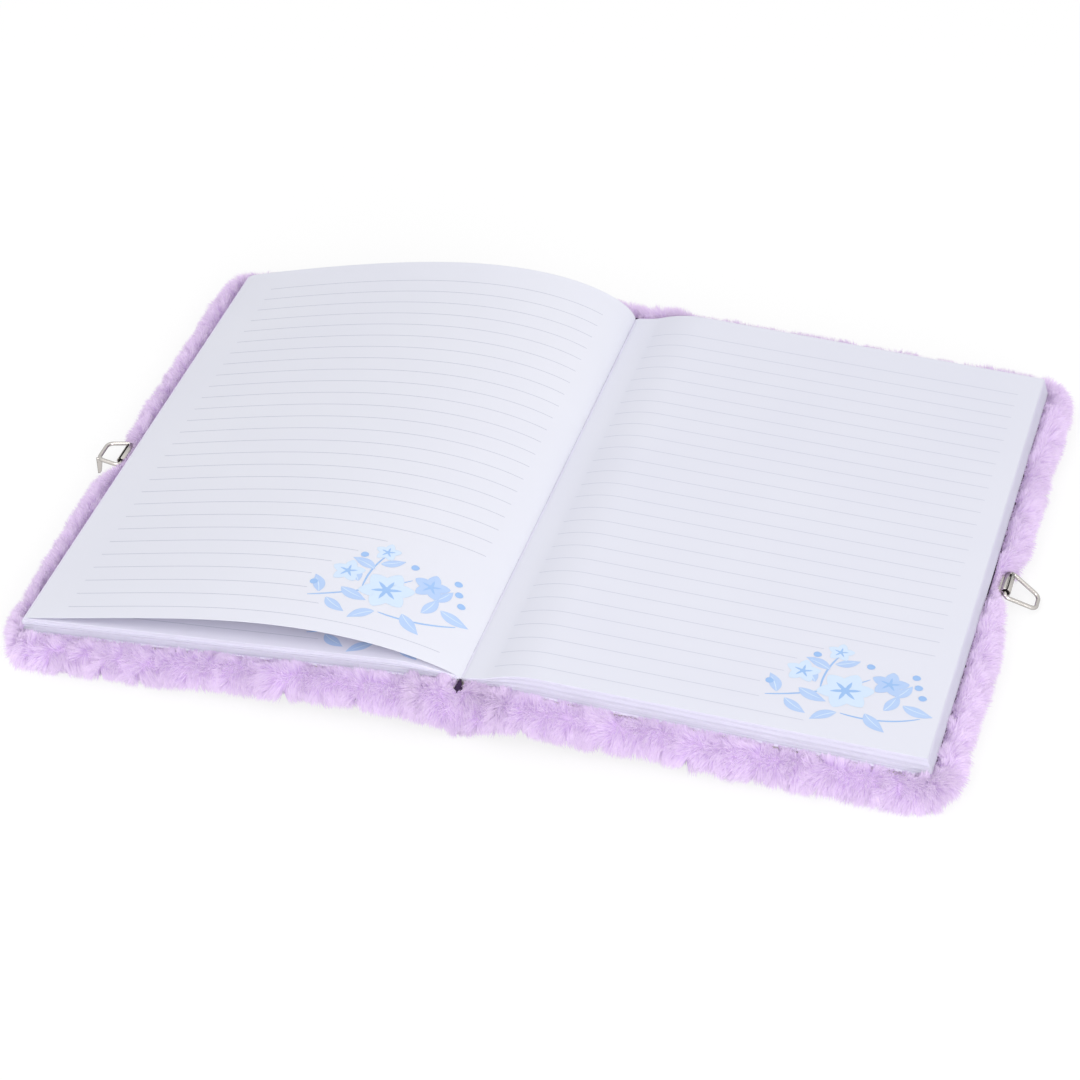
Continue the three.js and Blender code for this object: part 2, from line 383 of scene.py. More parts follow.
@dataclass(frozen=True)
class Ink:
    """Printed ink, a little uneven over the paper's tooth."""

    name: str
    tint: Tint
    pale: Tint
    grain: float = 180.0

    def material(self) -> bpy.types.Material:
        """Builds the material: noise mixes the two tints.

        Returns:
            The material.
        """
        n = Nodes(bpy.data.materials.new(self.name))
        base = n.mix(n.noise(self.grain, detail=5), colour(*self.tint), colour(*self.pale))
        shader = n.add("BsdfPrincipled", Base_Color=base, Roughness=0.7, Specular_IOR_Level=0.25)
        return n.finish(shader.outputs[0])


@dataclass(frozen=True)
class Pile:
    """Soft synthetic pile, darker at the roots by painted shade and paler at the tips by painted
    light, that lets some light through.
    """

    name: str
    # Colour at the roots, darker as painted shade deep in the pile
    root: Tint
    middle: Tint
    # Colour at the tips, paler as painted light
    tip: Tint
    tip_start: float = 0.35
    tuft_share: float = 0.55
    tuft_tone: float = 0.93
    strand_share: float = 0.4
    strand_tone: float = 1.06
    through: float = 0.45
    thin: float = 0.84

    def material(self) -> bpy.types.Material:
        """Builds the material from the strand's own attribute.

        The attribute's red is the way along the strand, which mixes the colours of the roots, the
        middle and the tip: the darker roots are painted shade deep in the pile, and the paler tip
        painted light. Its blue is the shade of the tuft, which darkens, and its green the
        strand's own shade, which lightens. A fibre is much thinner than its blade, so light that
        isn't seen directly passes it by a share.

        Returns:
            The material.
        """
        n = Nodes(bpy.data.materials.new(self.name))
        strand = n.add("Attribute", attribute_name="strand")
        along, own, tuft = n.add("SeparateColor", Color=strand.outputs["Color"]).outputs
        # Painted shade and light: the darker roots and the paler tip stand for the shade deep in
        # the pile and the light on its tips
        low = n.mix(along, colour(*self.root), colour(*self.middle))
        rise = n.add("MapRange", Value=along, From_Min=self.tip_start)
        base = n.mix(rise.outputs[0], low, colour(*self.tip))
        base = n.mix(n.times(tuft, self.tuft_share), base, toned(self.middle, self.tuft_tone))
        base = n.mix(n.times(own, self.strand_share), base, toned(self.tip, self.strand_tone))
        shader = n.add(
            "BsdfPrincipled",
            Base_Color=base,
            Roughness=0.9,
            Specular_IOR_Level=0.15,
            Sheen_Weight=0.25,
            Sheen_Roughness=0.5,
        )
        passed = n.add("BsdfTranslucent", Color=base)
        both = n.blend(self.through, shader.outputs[0], passed.outputs[0])
        ray = n.add("LightPath").outputs
        unseen = n.most(ray["Is Shadow Ray"], ray["Is Diffuse Ray"])
        gap = n.add("BsdfTransparent")
        return n.finish(n.blend(n.times(unseen, self.thin), both, gap.outputs[0]))


@dataclass(frozen=True)
class Backing:
    """The knitted ground that the pile grows from."""

    name: str
    tint: Tint
    shade: Tint
    cloud: float = 420.0
    knit: float = 900.0
    knit_depth: float = 0.0004

    def material(self) -> bpy.types.Material:
        """Builds the material: noise mixes the two tints, and finer noise bumps them.

        Returns:
            The material.
        """
        n = Nodes(bpy.data.materials.new(self.name))
        base = n.mix(n.noise(self.cloud, detail=4), colour(*self.shade), colour(*self.tint))
        knit = n.noise(self.knit, detail=3)
        bump = n.add("Bump", Height=knit, Strength=0.5, Distance=self.knit_depth)
        shader = n.add(
            "BsdfPrincipled",
            Base_Color=base,
            Roughness=1.0,
            Sheen_Weight=0.3,
            Normal=bump.outputs[0],
        )
        return n.finish(shader.outputs[0])


@dataclass(frozen=True)
class Nickel:
    """Bright nickel plate with faint handling marks, and painted shade that darkens it where it
    turns away.
    """

    name: str
    tint: Tint = (226, 221, 216)
    polished: float = 0.12
    handled: float = 0.3
    marks: float = 700.0
    cloud: float = 90.0
    cloud_tone: float = 0.9
    # Painted shade: the factor on the tint where the surface turns away from the view
    rim_tone: float = 0.34

    def material(self) -> bpy.types.Material:
        """Builds the material: noise moves the roughness, and painted shade darkens the rim by the
        angle.

        Returns:
            The material.
        """
        n = Nodes(bpy.data.materials.new(self.name))
        marks = n.noise(self.marks, detail=5)
        rough = n.add("MapRange", Value=marks, To_Min=self.polished, To_Max=self.handled)
        clouded = toned(self.tint, self.cloud_tone)
        base = n.mix(n.noise(self.cloud, detail=2), colour(*self.tint), clouded)
        # Painted shade: towards the rim, where the surface turns away from the view, the tint is
        # mixed towards a darker one in place of darker surroundings to reflect
        rim = n.add("LayerWeight", Blend=0.3).outputs["Facing"]
        base = n.mix(rim, base, toned(self.tint, self.rim_tone))
        shader = n.add(
            "BsdfPrincipled",
            Base_Color=base,
            Metallic=1.0,
            Roughness=rough.outputs[0],
        )
        return n.finish(shader.outputs[0])


@dataclass(frozen=True)
class Board:
    """Board, cloth, thread or glue, with fibres in its colour and surface."""

    name: str
    tint: Tint
    shade: Tint
    grain: float = 900.0
    depth: float = 0.0002

    def material(self) -> bpy.types.Material:
        """Builds the material: one noise mixes the two tints and bumps the surface.

        Returns:
            The material.
        """
        n = Nodes(bpy.data.materials.new(self.name))
        fibres = n.noise(self.grain, detail=6)
        base = n.mix(fibres, colour(*self.shade), colour(*self.tint))
        bump = n.add("Bump", Height=fibres, Strength=0.4, Distance=self.depth)
        shader = n.add(
            "BsdfPrincipled",
            Base_Color=base,
            Roughness=0.95,
            Normal=bump.outputs[0],
        )
        return n.finish(shader.outputs[0])


class Finishes:
    """Every material, made once."""

    def __init__(self) -> None:
        """Builds the materials."""
        self.paper = Paper("writing_paper", (220, 221, 231), (215, 216, 228)).material()
        self.endpaper = Paper("endpaper", (242, 238, 252), (236, 231, 249)).material()
        # Painted bounce light: this paper is lighter and more violet than the writing paper, so
        # that the shaded block edges and the page under the free leaf look lit by light from the
        # pile
        self.block_paper = Paper("block_paper", (228, 226, 239), (223, 221, 236)).material()
        self.leaf_paper = Paper("thin_paper", (236, 237, 245), (231, 232, 242), 0.16).material()
        self.rule = Ink("rule_ink", (190, 192, 208), (203, 205, 218), 900).material()
        self.wash = Ink("pale_wash", (200, 217, 238), (208, 223, 241)).material()
        self.leaf_ink = Ink("leaf_ink", (170, 194, 233), (184, 205, 237)).material()
        self.deep_ink = Ink("deep_ink", (146, 181, 229), (162, 193, 233)).material()
        # The pile's darker roots and paler tips are painted shade and painted light
        self.pile = Pile("lilac_pile", (214, 183, 237), (236, 212, 252), (245, 228, 255)).material()
        self.backing = Backing("pile_backing", (208, 184, 222), (196, 170, 212)).material()
        self.nickel = Nickel("bright_nickel").material()
        # Painted shadow in the hollow ends of the rolled clips
        self.bore = Board("dark_bore", (18, 16, 16), (8, 8, 8)).material()
        self.board = Board("grey_board", (178, 172, 162), (160, 154, 146)).material()
        # Partly the band's own dark cloth, partly painted shadow of the spine's hollow and of the
        # gap inside the covers' lips
        self.band = Board("dark_band", (60, 34, 74), (28, 14, 38), 2600).material()
        self.lining = Board("spine_mull", (238, 234, 224), (216, 210, 198), 1800).material()
        self.thread = Board("thread", (214, 214, 226), (196, 196, 210), 3000).material()
        self.glue = Board("dried_glue", (226, 222, 228), (206, 202, 210), 400).material()

    @property
    def inks(self) -> list[bpy.types.Material]:
        """The rules and the three inks of the design, in the order of their slots."""
        return [self.rule, self.wash, self.leaf_ink, self.deep_ink]

    def gathering(self, side: Side) -> list[bpy.types.Material]:
        """Slots of a printed gathering: top paper, inks and the paper of the sheets below."""
        # The front top page lies in the free leaf's shade and takes the paper lightened by painted
        # bounce light
        top = self.block_paper if side is Side.FRONT else self.paper
        return [top, *self.inks, self.block_paper]


# Meshes


class Surface:
    """Collects grids of points and makes one mesh of them."""

    def __init__(self) -> None:
        """Starts empty."""
        self.points: list[np.ndarray] = []
        self.faces: list[np.ndarray] = []
        self.slots: list[np.ndarray] = []
        self.count = 0

    def grid(
        self,
        points: np.ndarray,
        slot: int = 0,
        closed: bool = False,
        flip: bool = False,
    ) -> None:
        """Adds a grid of quads.

        Args:
            points: Array of rows, columns and three coordinates, mm.
            slot: Material slot.
            closed: Joins the last row to the first.
            flip: Turns the faces round.
        """
        m, n = points.shape[:2]
        index = self.count + np.arange(m * n).reshape(m, n)
        if closed:
            index = np.vstack([index, index[:1]])
        corners = [index[:-1, :-1], index[1:, :-1], index[1:, 1:], index[:-1, 1:]]
        quads = np.stack(corners, -1).reshape(-1, 4)
        self.points.append(points.reshape(-1, 3))
        self.faces.append(quads[:, ::-1] if flip else quads)
        self.slots.append(np.full(len(quads), int(slot)))
        self.count += m * n

    def slab(self, over: np.ndarray, under: np.ndarray, slot: int = 0) -> None:
        """Adds a closed thin slab.

        Args:
            over: Its upper grid.
            under: Its lower grid, of the same shape.
            slot: Material slot.
        """
        self.grid(over, slot)
        self.grid(under, slot, flip=True)
        for a, b in (
            (over[:, 0], under[:, 0]),
            (under[:, -1], over[:, -1]),
            (under[0], over[0]),
            (over[-1], under[-1]),
        ):
            self.grid(np.stack([a, b], 1), slot)

    def build(self, name: str, materials: list[bpy.types.Material]) -> bpy.types.Object:
        """Makes the object, in metres, with its origin at the frame's.

        Args:
            name: The object's name.
            materials: Its slots in order.

        Returns:
            The object, smooth shaded.
        """
        data = bpy.data.meshes.new(name)
        data.from_pydata(np.vstack(self.points) * MM, [], np.vstack(self.faces).tolist())
        for material in materials:
            data.materials.append(material)
        data.polygons.foreach_set("material_index", np.concatenate(self.slots).astype(np.int32))
        data.polygons.foreach_set("use_smooth", np.ones(len(data.polygons), bool))
        data.update()
        LOG.info("%s: %d faces", name, len(data.polygons))
        return link(name, data)


def link(name: str, data: bpy.types.ID) -> bpy.types.Object:
    """Makes an object of its data and links it to the scene.

    Args:
        name: The object's name.
        data: Its mesh, lamp or camera.

    Returns:
        The object.
    """
    made = bpy.data.objects.new(name, data)
    bpy.context.scene.collection.objects.link(made)
    return made


def outward(made: bpy.types.Object) -> None:
    """Merges the doubles of a closed mesh and turns its faces out.

    Args:
        made: The mesh object.
    """
    body = bmesh.new()
    body.from_mesh(made.data)
    bmesh.ops.remove_doubles(body, verts=body.verts, dist=1e-7)
    bmesh.ops.recalc_face_normals(body, faces=body.faces)
    body.to_mesh(made.data)
    body.free()


@dataclass(frozen=True)
class Half:
    """One half of the open book and its tilted plane.

    The leaf pivot is further from the middle plane than the block is thick, by the pivot gap.
    The start height is what the block keeps of its thickness where the leaves start.
    """

    side: Side
    gatherings: int
    gathering: float = 1.34
    flyleaf: float = 0.2
    fold_height: float = 15.95
    fold_rise: float = 0.7
    fold_clear: float = 0.06
    pivot_gap: float = 0.1
    start_height: float = 2.9

    @property
    def name(self) -> str:
        """The word that starts the names of this half's nodes."""
        return self.side.word

    @property
    def thickness(self) -> float:
        """Height of the page block away from the gutter."""
        return self.flyleaf + (self.gatherings + 0.5) * self.gathering

    @property
    def pivot(self) -> float:
        """Distance of the leaf pivot from the middle plane."""
        return self.thickness + self.pivot_gap

    @property
    def edge(self) -> float:
        """The top page's fore edge."""
        return PAGE_WIDTH - self.pivot

    @property
    def leaves(self) -> str:
        """The body of this half's leaves."""
        return self.name + "_leaves"

    @property
    def cover(self) -> str:
        """The body of this half's cover."""
        return self.name + "_cover"

    def place(self, u: np.ndarray, y: np.ndarray, w: np.ndarray) -> np.ndarray:
        """Turns plane coordinates into the row frame.

        Args:
            u: Distances from the leaf pivot towards the fore edge, mm.
            y: Places along the page.
            w: Heights over the plane.

        Returns:
            The points, mm.
        """
        u, y, w = np.broadcast_arrays(u, y, w)
        c, s = math.cos(DROOP), math.sin(DROOP)
        x = self.side.value * (self.pivot + u * c + w * s)
        return np.stack([x, y, PIVOT_HEIGHT - u * s + w * c], -1)

    def turn(self, u: np.ndarray, y: np.ndarray, w: np.ndarray) -> np.ndarray:
        """Turns directions of the plane, given by their parts, into the row frame."""
        c, s = math.cos(DROOP), math.sin(DROOP)
        return np.stack([self.side.value * (u * c + w * s), y, -u * s + w * c], -1)

    def share(self, u: np.ndarray) -> np.ndarray:
        """Gives the share of its height that the block keeps near the gutter.

        It rises from its least value at the first sheets to 1, by a parabola.

        Args:
            u: Distances from the leaf pivot, mm.

        Returns:
            The shares.
        """
        least = self.start_height / self.thickness
        q = np.clip((u - LEAF_START) / GUTTER_DIP, 0, 1)
        return 1 - (1 - least) * (1 - q) ** 2

    def block_path(self, h: float, count: int) -> np.ndarray:
        """Gives a sheet's line from its fold to its fore edge.

        The line stands up from the fold, bends over in a cubic curve, and then runs with the
        block, whose height near the gutter is a share of the full one.

        Args:
            h: Height of the sheet in the block, from 0 to 1.
            count: Points along the run.

        Returns:
            Points as (x, z) in the row frame, mm.
        """
        s = self.side.value
        level = LEAF_START + GUTTER_DIP
        near = np.linspace(LEAF_START, level, count // 2, endpoint=False)
        far = np.linspace(level, self.edge + SHEET_FAN * (1 - h), count - count // 2)
        u = np.r_[near, far]
        run = self.place(u, 0 * u, h * self.thickness * self.share(u))[:, [0, 2]]
        from_middle = self.pivot * (1 - h) + self.fold_clear
        fold = np.array([s * from_middle, self.fold_height + self.fold_rise * h])
        # A sheet stands up further, and bends over wider, the higher it lies in the block
        rise = 0.3 + 1.0 * h
        wide = 2 + 2.4 * h
        lead = unit(run[1] - run[0])
        curve = bezier([fold, fold + [0, rise], run[0] - lead * wide, run[0]], count=12)
        return np.vstack([curve[:-1], run])


def stand(path: np.ndarray, y: np.ndarray) -> np.ndarray:
    """Draws a line out along Y.

    Args:
        path: Points as (x, z), mm.
        y: Places along Y.

    Returns:
        A grid with a row for each point and a column for each place.
    """
    x = np.repeat(path[:, :1], len(y), 1)
    z = np.repeat(path[:, 1:], len(y), 1)
    return np.stack([x, np.repeat(y[None], len(path), 0), z], -1)


def upward(path: np.ndarray) -> np.ndarray:
    """Gives the unit normals of a line on its upper side.

    Args:
        path: Points as (x, z).

    Returns:
        The normals as (x, z).
    """
    lead = unit(np.gradient(path, axis=0))
    normal = np.stack([-lead[:, 1], lead[:, 0]], 1)
    return np.where(normal[:, 1:] < 0, -normal, normal)


def lifted(path: np.ndarray, by: float, upright: float = 0.15) -> np.ndarray:
    """Moves a line along its upward normal. Where it stands upright, that is to the gutter.

    Args:
        path: Points as (x, z), mm.
        by: The distance.
        upright: A normal that rises less than this counts as upright.

    Returns:
        The moved points.
    """
    normal = upward(path)
    side = np.sign(path[-1, 0] - path[0, 0])
    inward = np.stack([-side * np.abs(normal[:, 0]), normal[:, 1]], 1)
    return path + np.where(normal[:, 1:] < upright, inward, normal) * by


class Page:
    """A printed side of a leaf: a line of (x, z) points that its print follows."""

    def __init__(self, path: np.ndarray, side: int) -> None:
        """Keeps the line.

        Args:
            path: Points from the gutter to the fore edge, mm.
            side: -1 for the left half and 1 for the right one.
        """
        self.path = path
        self.side = side
        self.up = 1.0
        self.normal = upward(path)
        self.out = path[:, 0] * side

    def at(self, out: np.ndarray, y: np.ndarray, lift: float) -> np.ndarray:
        """Gives points of the page.

        Args:
            out: Distances from the gutter, mm.
            y: Places along the page.
            lift: Distance from the paper.

        Returns:
            The points, mm.
        """
        out, y = np.broadcast_arrays(out, y)
        lines = (*self.path.T, *self.normal.T)
        x, z, nx, nz = (np.interp(out, self.out, line) for line in lines)
        return np.stack([x + nx * lift, y, z + nz * lift], -1)


class BowedPage(Page):
    """One side of the free leaf, whose bow is lower at the tail than at the head."""

    def __init__(self, lines: tuple[np.ndarray, ...], half_thick: float, above: bool) -> None:
        """Keeps the leaf's middle surface.

        Args:
            lines: Distances from the gutter, and the heights there at the tail and the head.
            half_thick: Half the leaf's thickness, mm.
            above: Whether the print is on the upper side.
        """
        self.out, *self.heights = lines
        self.half_thick = half_thick
        self.side = Side.FRONT.value
        self.up = 1.0 if above else -1.0
        self.slopes = [np.gradient(z, self.out) for z in self.heights]

    def at(self, out: np.ndarray, y: np.ndarray, lift: float) -> np.ndarray:
        """Gives points of the page, whose height and slope run evenly from tail to head.

        Args:
            out: Distances from the gutter, mm.
            y: Places along the page.
            lift: Distance from the paper.

        Returns:
            The points, mm.
        """
        out, y = np.broadcast_arrays(out, y)
        t = np.clip((y + HALF_PAGE) / (2 * HALF_PAGE), 0, 1)
        z, slope = (
            np.interp(out, self.out, tail) * (1 - t) + np.interp(out, self.out, head) * t
            for tail, head in (self.heights, self.slopes)
        )
        by = self.up * (lift + self.half_thick) / np.sqrt(1 + slope**2)
        return np.stack([-out + slope * by, y, z + by], -1)


# Print


@dataclass(frozen=True)
class Rules:
    """The ruled lines of one page, from the one next to the head.

    A rule meets the design where that comes near it, and then leaves a gap. Sizes are in mm.
    """

    first: float = 92.7
    pitch: float = 7.1
    count: int = 28
    points: int = 60
    width: float = 0.26
    lift: float = 0.03
    near: float = 1.6
    gap: float = 1.4

    def draw(self, into: Surface, page: Page, span: Span, design: np.ndarray | None) -> None:
        """Adds the rules as thin strips that end short of the design.

        A rule that meets points of the design stops a gap before the outermost of them, which
        is the side away from the gutter on the left page and towards it on the right one.

        Args:
            into: The mesh that takes them.
            page: The page they lie on.
            span: Where they start and end, mm from the gutter.
            design: The design's points as (out, y), or None on a page without one.
        """
        across = np.array([[-0.5, 0.5]]) * self.width
        for i in range(self.count):
            y = self.first - self.pitch * i
            start, stop = span
            if design is not None:
                met = design[np.abs(design[:, 1] - y) < self.near, 0]
                if len(met) and page.side < 0:
                    start = met.max() + self.gap
                elif len(met):
                    stop = met.min() - self.gap
            out = np.linspace(start, stop, self.points)
            strip = page.at(out[:, None], y + across, self.lift)
            into.grid(strip, Slot.RULE, flip=page.side * page.up < 0)


@dataclass(frozen=True)
class Shape:
    """One flat printed shape: a bent spine with a width that swells along it.

    Later layers lie over earlier ones. A low sharpness gives round ends, a high one pointed
    ends.
    """

    at: Span
    angle: float
    length: float
    half_width: float
    slot: Slot
    layer: float
    bend: float = 0.0
    sharp: float = 1.0
    rows: int = 22
    columns: int = 5

    def points(self) -> np.ndarray:
        """Gives the shape as a grid of plane points.

        The spine is an arc. The half width is a sine of a power of the way along, raised to
        the sharpness.

        Returns:
            Array of rows along the spine, columns across it and two coordinates, mm.
        """
        t = np.linspace(0, 1, self.rows)
        turn = math.radians(self.angle) + self.bend * (t - 0.5)
        step = self.length / (len(t) - 1)
        spine = np.stack([np.cos(turn), np.sin(turn)], 1) * step
        spine = np.vstack([[0, 0], np.cumsum(spine[:-1], 0)])
        across = np.stack([-np.sin(turn), np.cos(turn)], 1)
        swell = np.sin(math.pi * np.clip(t, 0.004, 0.996) ** 0.85) ** self.sharp
        width = self.half_width * swell[:, None] * np.linspace(-1, 1, self.columns)
        return np.array(self.at) + spine[:, None] + across[:, None] * width[..., None]


class Spray:
    """A generic spray of blossoms and leaves, drawn with bent lens shapes only."""

    SCALE = 1.02
    LIFT = 0.034
    LAYER = 0.012
    # Foot, angle, length and bend
    STEMS = (((-21, -13), 30, 33, 0.5), ((2, -15), 12, 24, 0.75), ((-6, -5), 80, 17, -0.5))
    # Foot, angle and length
    LEAVES = (
        ((-18, -11), 120, 9),
        ((-12, -7), -20, 10),
        ((-8, -3), 125, 10),
        ((14, -10), 70, 9),
        ((9, -13), -38, 10),
        ((19, -6), -15, 10),
        ((16, -3), 60, 8),
        ((-5, 4), 160, 9),
        ((-4, 7), 25, 8),
        ((-15, -13), -30, 9),
        ((1, -15), -140, 9),
    )
    # Middle, size, petals and ink
    BLOSSOMS = (
        ((1.5, -4.5), 8.6, 6, Slot.WASH),
        ((-12.5, 1.0), 5.4, 5, Slot.WASH),
        ((13.5, 2.5), 5.8, 5, Slot.LEAF),
        ((-3.5, 13.0), 4.2, 5, Slot.WASH),
    )
    BERRIES = ((22, 3.5), (24, -1), (-21, -6.5), (6.5, 9), (-10, 10), (20.5, 8))

    def __init__(self, seed: int = 3) -> None:
        """Arranges the shapes.

        Args:
            seed: Fixes how each leaf is turned a little.
        """
        self.shapes: list[Shape] = []
        rng = np.random.default_rng(seed)
        for at, angle, length, bend in self.STEMS:
            stem = Shape(at, angle, length, 0.32, Slot.DEEP, layer=0, bend=bend, sharp=0.25)
            self.shapes.append(stem)
        for at, angle, length in self.LEAVES:
            self.leaf(at, angle + rng.uniform(-6, 6), length)
        for at, size, petals, slot in self.BLOSSOMS:
            self.blossom(at, size, petals, slot)
        for at in self.BERRIES:
            self.bead(at, 1.25)

    def leaf(self, at: Span, angle: float, length: float) -> None:
        """Adds a leaf with a paler rib.

        Args:
            at: Its foot, mm.
            angle: Its direction in degrees.
            length: Its length.
        """
        layer = 1 + 0.016 * len(self.shapes)
        over = layer + 0.9
        blade = Shape(at, angle, length, length * 0.21, Slot.LEAF, layer, bend=0.5)
        rib = Shape(at, angle, length * 0.8, 0.16, Slot.WASH, over, bend=0.4, sharp=0.4)
        self.shapes += [blade, rib]

    def blossom(self, at: Span, size: float, petals: int, slot: Slot) -> None:
        """Adds a flower of round petals, each with a deeper streak, around a bead.

        Args:
            at: Its middle, mm.
            size: Length of a petal.
            petals: Their number.
            slot: Their ink.
        """
        for i in range(petals):
            angle = 360 / petals * i + 17
            layer = 3 + i / petals
            over = 4.4
            long, wide = size * 0.55, size * 0.07
            petal = Shape(at, angle, size, size * 0.36, slot, layer, bend=0.1, sharp=0.62)
            streak = Shape(at, angle, long, wide, Slot.DEEP, over, bend=0.1, sharp=0.9)
            self.shapes += [petal, streak]
        self.bead(at, size * 0.17)

    def bead(self, at: Span, radius: float) -> None:
        """Adds a small round dot around its middle."""
        start = (at[0] - radius, at[1])
        self.shapes.append(Shape(start, 0, 2 * radius, radius, Slot.DEEP, layer=5, sharp=0.5))

    def draw(self, into: Surface, page: Page, middle: Span) -> np.ndarray:
        """Adds the design to a page.

        Args:
            into: The mesh that takes it.
            page: The page it is printed on.
            middle: Its centre, mm from the gutter and from the page's middle.

        Returns:
            Its points as (out, y).
        """
        drawn = []
        for shape in self.shapes:
            p = shape.points() * self.SCALE
            out = middle[0] + page.side * page.up * p[..., 0]
            y = middle[1] + p[..., 1]
            into.grid(page.at(out, y, self.LIFT + self.LAYER * shape.layer), shape.slot)
            drawn.append(np.stack([out.ravel(), y.ravel()], 1))
        return np.vstack(drawn)


@dataclass(frozen=True)
class Layout:
    """Where a page's rules run and where its design stands, mm from the gutter."""

    span: Span
    design: Span | None = None

    def draw(self, into: Surface, page: Page) -> None:
        """Prints the design on a page, if there is one, and the rules that end short of it."""
        drawn = Spray().draw(into, page, self.design) if self.design else None
        Rules().draw(into, page, self.span, drawn)


# Paper


@dataclass
class PageBlock:
    """The sewn gatherings of one half, as separate thin sheets.

    A grid is the number of points along a sheet's line and along the page. Slip and skew are
    how far the sheets are out of line, as standard deviations in mm.
    """

    half: Half
    finishes: Finishes
    sheet: float = 0.1
    gap: float = 0.05
    slip: float = 0.1
    skew: float = 0.12
    gathered: int = 9
    opened: int = 5
    plain_grid: tuple[int, int] = (22, 3)
    printed_grid: tuple[int, int] = (110, 12)
    right_page: Layout = Layout((9.0, 136.7), (112.5, -77.0))
    second_page: Layout = Layout((8.5, 130.5), (31.0, -83.0))

    def build(self) -> None:
        """Builds the flyleaf, the whole gatherings and the opened half gathering."""
        half = self.half
        # The plain sheets take the paper lightened by painted bounce light
        plain_paper_painted_light = [self.finishes.block_paper]
        low = half.flyleaf
        self.stack("flyleaf", 0.0, low - self.gap, 1, [self.finishes.endpaper])
        for i in range(1, half.gatherings + 1):
            top = low + half.gathering - self.gap
            self.stack(f"gathering_{i}", low, top, self.gathered, plain_paper_painted_light)
            low += half.gathering
        layout = self.right_page if half.side is Side.BACK else self.second_page
        slots = self.finishes.gathering(half.side)
        self.stack("middle_half_gathering", low, half.thickness, self.opened, slots, layout)

    def stack(
        self,
        name: str,
        low: float,
        high: float,
        sheets: int,
        slots: list[bpy.types.Material],
        layout: Layout | None = None,
    ) -> None:
        """Builds one gathering. All sheets but a printed one slip and skew at random.

        Args:
            name: The node's name without the half's.
            low: Underside of the gathering in the block, mm.
            high: Its top.
            sheets: Number of sheets.
            slots: Their materials.
            layout: Print of the top sheet, or None on a plain gathering.
        """
        half = self.half
        rng = np.random.default_rng(int(low * 1000) + 7 + half.side.value)
        into = Surface()
        levels = np.linspace(low, high - self.sheet, sheets) if sheets > 1 else [low]
        for i, level in enumerate(levels):
            printed = layout is not None and i == len(levels) - 1
            points, places = self.printed_grid if printed else self.plain_grid
            h = (level + self.sheet / 2) / half.thickness
            path = half.block_path(h, points)
            slip = rng.normal(0, self.slip)
            skew = rng.normal(0, self.skew)
            if printed:
                slip = skew = 0.0
            path[-1] += unit(path[-1] - path[-2]) * slip
            y = np.linspace(-HALF_PAGE, HALF_PAGE, places) + skew
            top = lifted(path, self.sheet / 2)
            over = stand(top, y)
            under = stand(lifted(path, -self.sheet / 2), y)
            if half.side is Side.FRONT:
                over, under = over[:, ::-1], under[:, ::-1]
            below = layout is not None and not printed
            into.slab(over, under, Slot.BELOW if below else Slot.PAPER)
            if printed:
                layout.draw(into, Page(top, half.side.value))
        made = into.build(f"{half.name}_{name}_sheets", slots)
        half.leaves
        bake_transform(made)
        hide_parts(f"{half.name}_{name}")


@dataclass(frozen=True)
class Bow:
    """How the free leaf is bowed along one line: its rise in mm, and two powers.

    The power of the way along moves the peak towards the gutter when it is under 1. The power
    of the sine makes the peak sharper when it is over 1.
    """

    rise: float
    way_power: float
    sine_power: float


@dataclass
class FreeLeaf:
    """The leaf that stands free over the front block, bowed by its spring.

    The leaf starts past the fold and at a height over the plane, ends short of the block's
    fore edge, and climbs less than the block.
    """

    half: Half
    finishes: Finishes
    thick: float = 0.12
    tail: Bow = Bow(rise=10.8, way_power=0.716, sine_power=1.1)
    head: Bow = Bow(rise=16.0, way_power=0.63, sine_power=0.9)
    past_fold: float = 0.05
    short: float = 0.6
    start_w: float = 0.5
    climb_less: float = 0.3
    above: Layout = Layout((8.5, 130.5), (33.0, -75.0))
    below: Layout = Layout((8.5, 130.5))

    def line(self, out: np.ndarray, bow: Bow) -> np.ndarray:
        """Gives the leaf's height along a line from the gutter to the fore edge.

        In the half's plane it is a straight line plus an arch. The arch's height is a sine of
        a power of the way along, and that sine is raised to a second power.

        Args:
            out: Distances from the gutter, mm.
            bow: The bow of that line.

        Returns:
            Heights in the row frame, mm.
        """
        half = self.half
        s = np.linspace(0, 1, 900) ** 1.8
        arch = bow.rise * np.abs(np.sin(math.pi * s**bow.way_power)) ** bow.sine_power
        u = -half.pivot + self.past_fold + (half.edge - self.short + half.pivot) * s
        w = self.start_w + (half.thickness - self.climb_less) * s + arch
        line = half.place(u, 0 * u, w)
        return np.interp(out, -line[:, 0], line[:, 2])

    def build(self) -> None:
        """Builds the leaf with print on both sides."""
        half = self.half
        out = 0.1 + (half.edge + half.pivot - 0.9) * np.linspace(0, 1, 190) ** 1.5
        lines = (out, self.line(out, self.tail), self.line(out, self.head))
        top = BowedPage(lines, self.thick / 2, above=True)
        bottom = BowedPage(lines, self.thick / 2, above=False)
        y = np.linspace(HALF_PAGE, -HALF_PAGE, 22)
        into = Surface()
        into.slab(top.at(out[:, None], y, 0.0), bottom.at(out[:, None], y, 0.0))
        self.above.draw(into, top)
        self.below.draw(into, bottom)
        made = into.build("free_leaf_sheet", [self.finishes.leaf_paper, *self.finishes.inks])
        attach(made, "free_leaf")
        zero = np.array(0.0)
        anchor = half.place(np.array(60.0), zero, np.array(half.thickness + 0.1))
        axis = half.turn(zero, zero, np.array(1.0))
        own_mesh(made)
        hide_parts("free_leaf")


# Plush


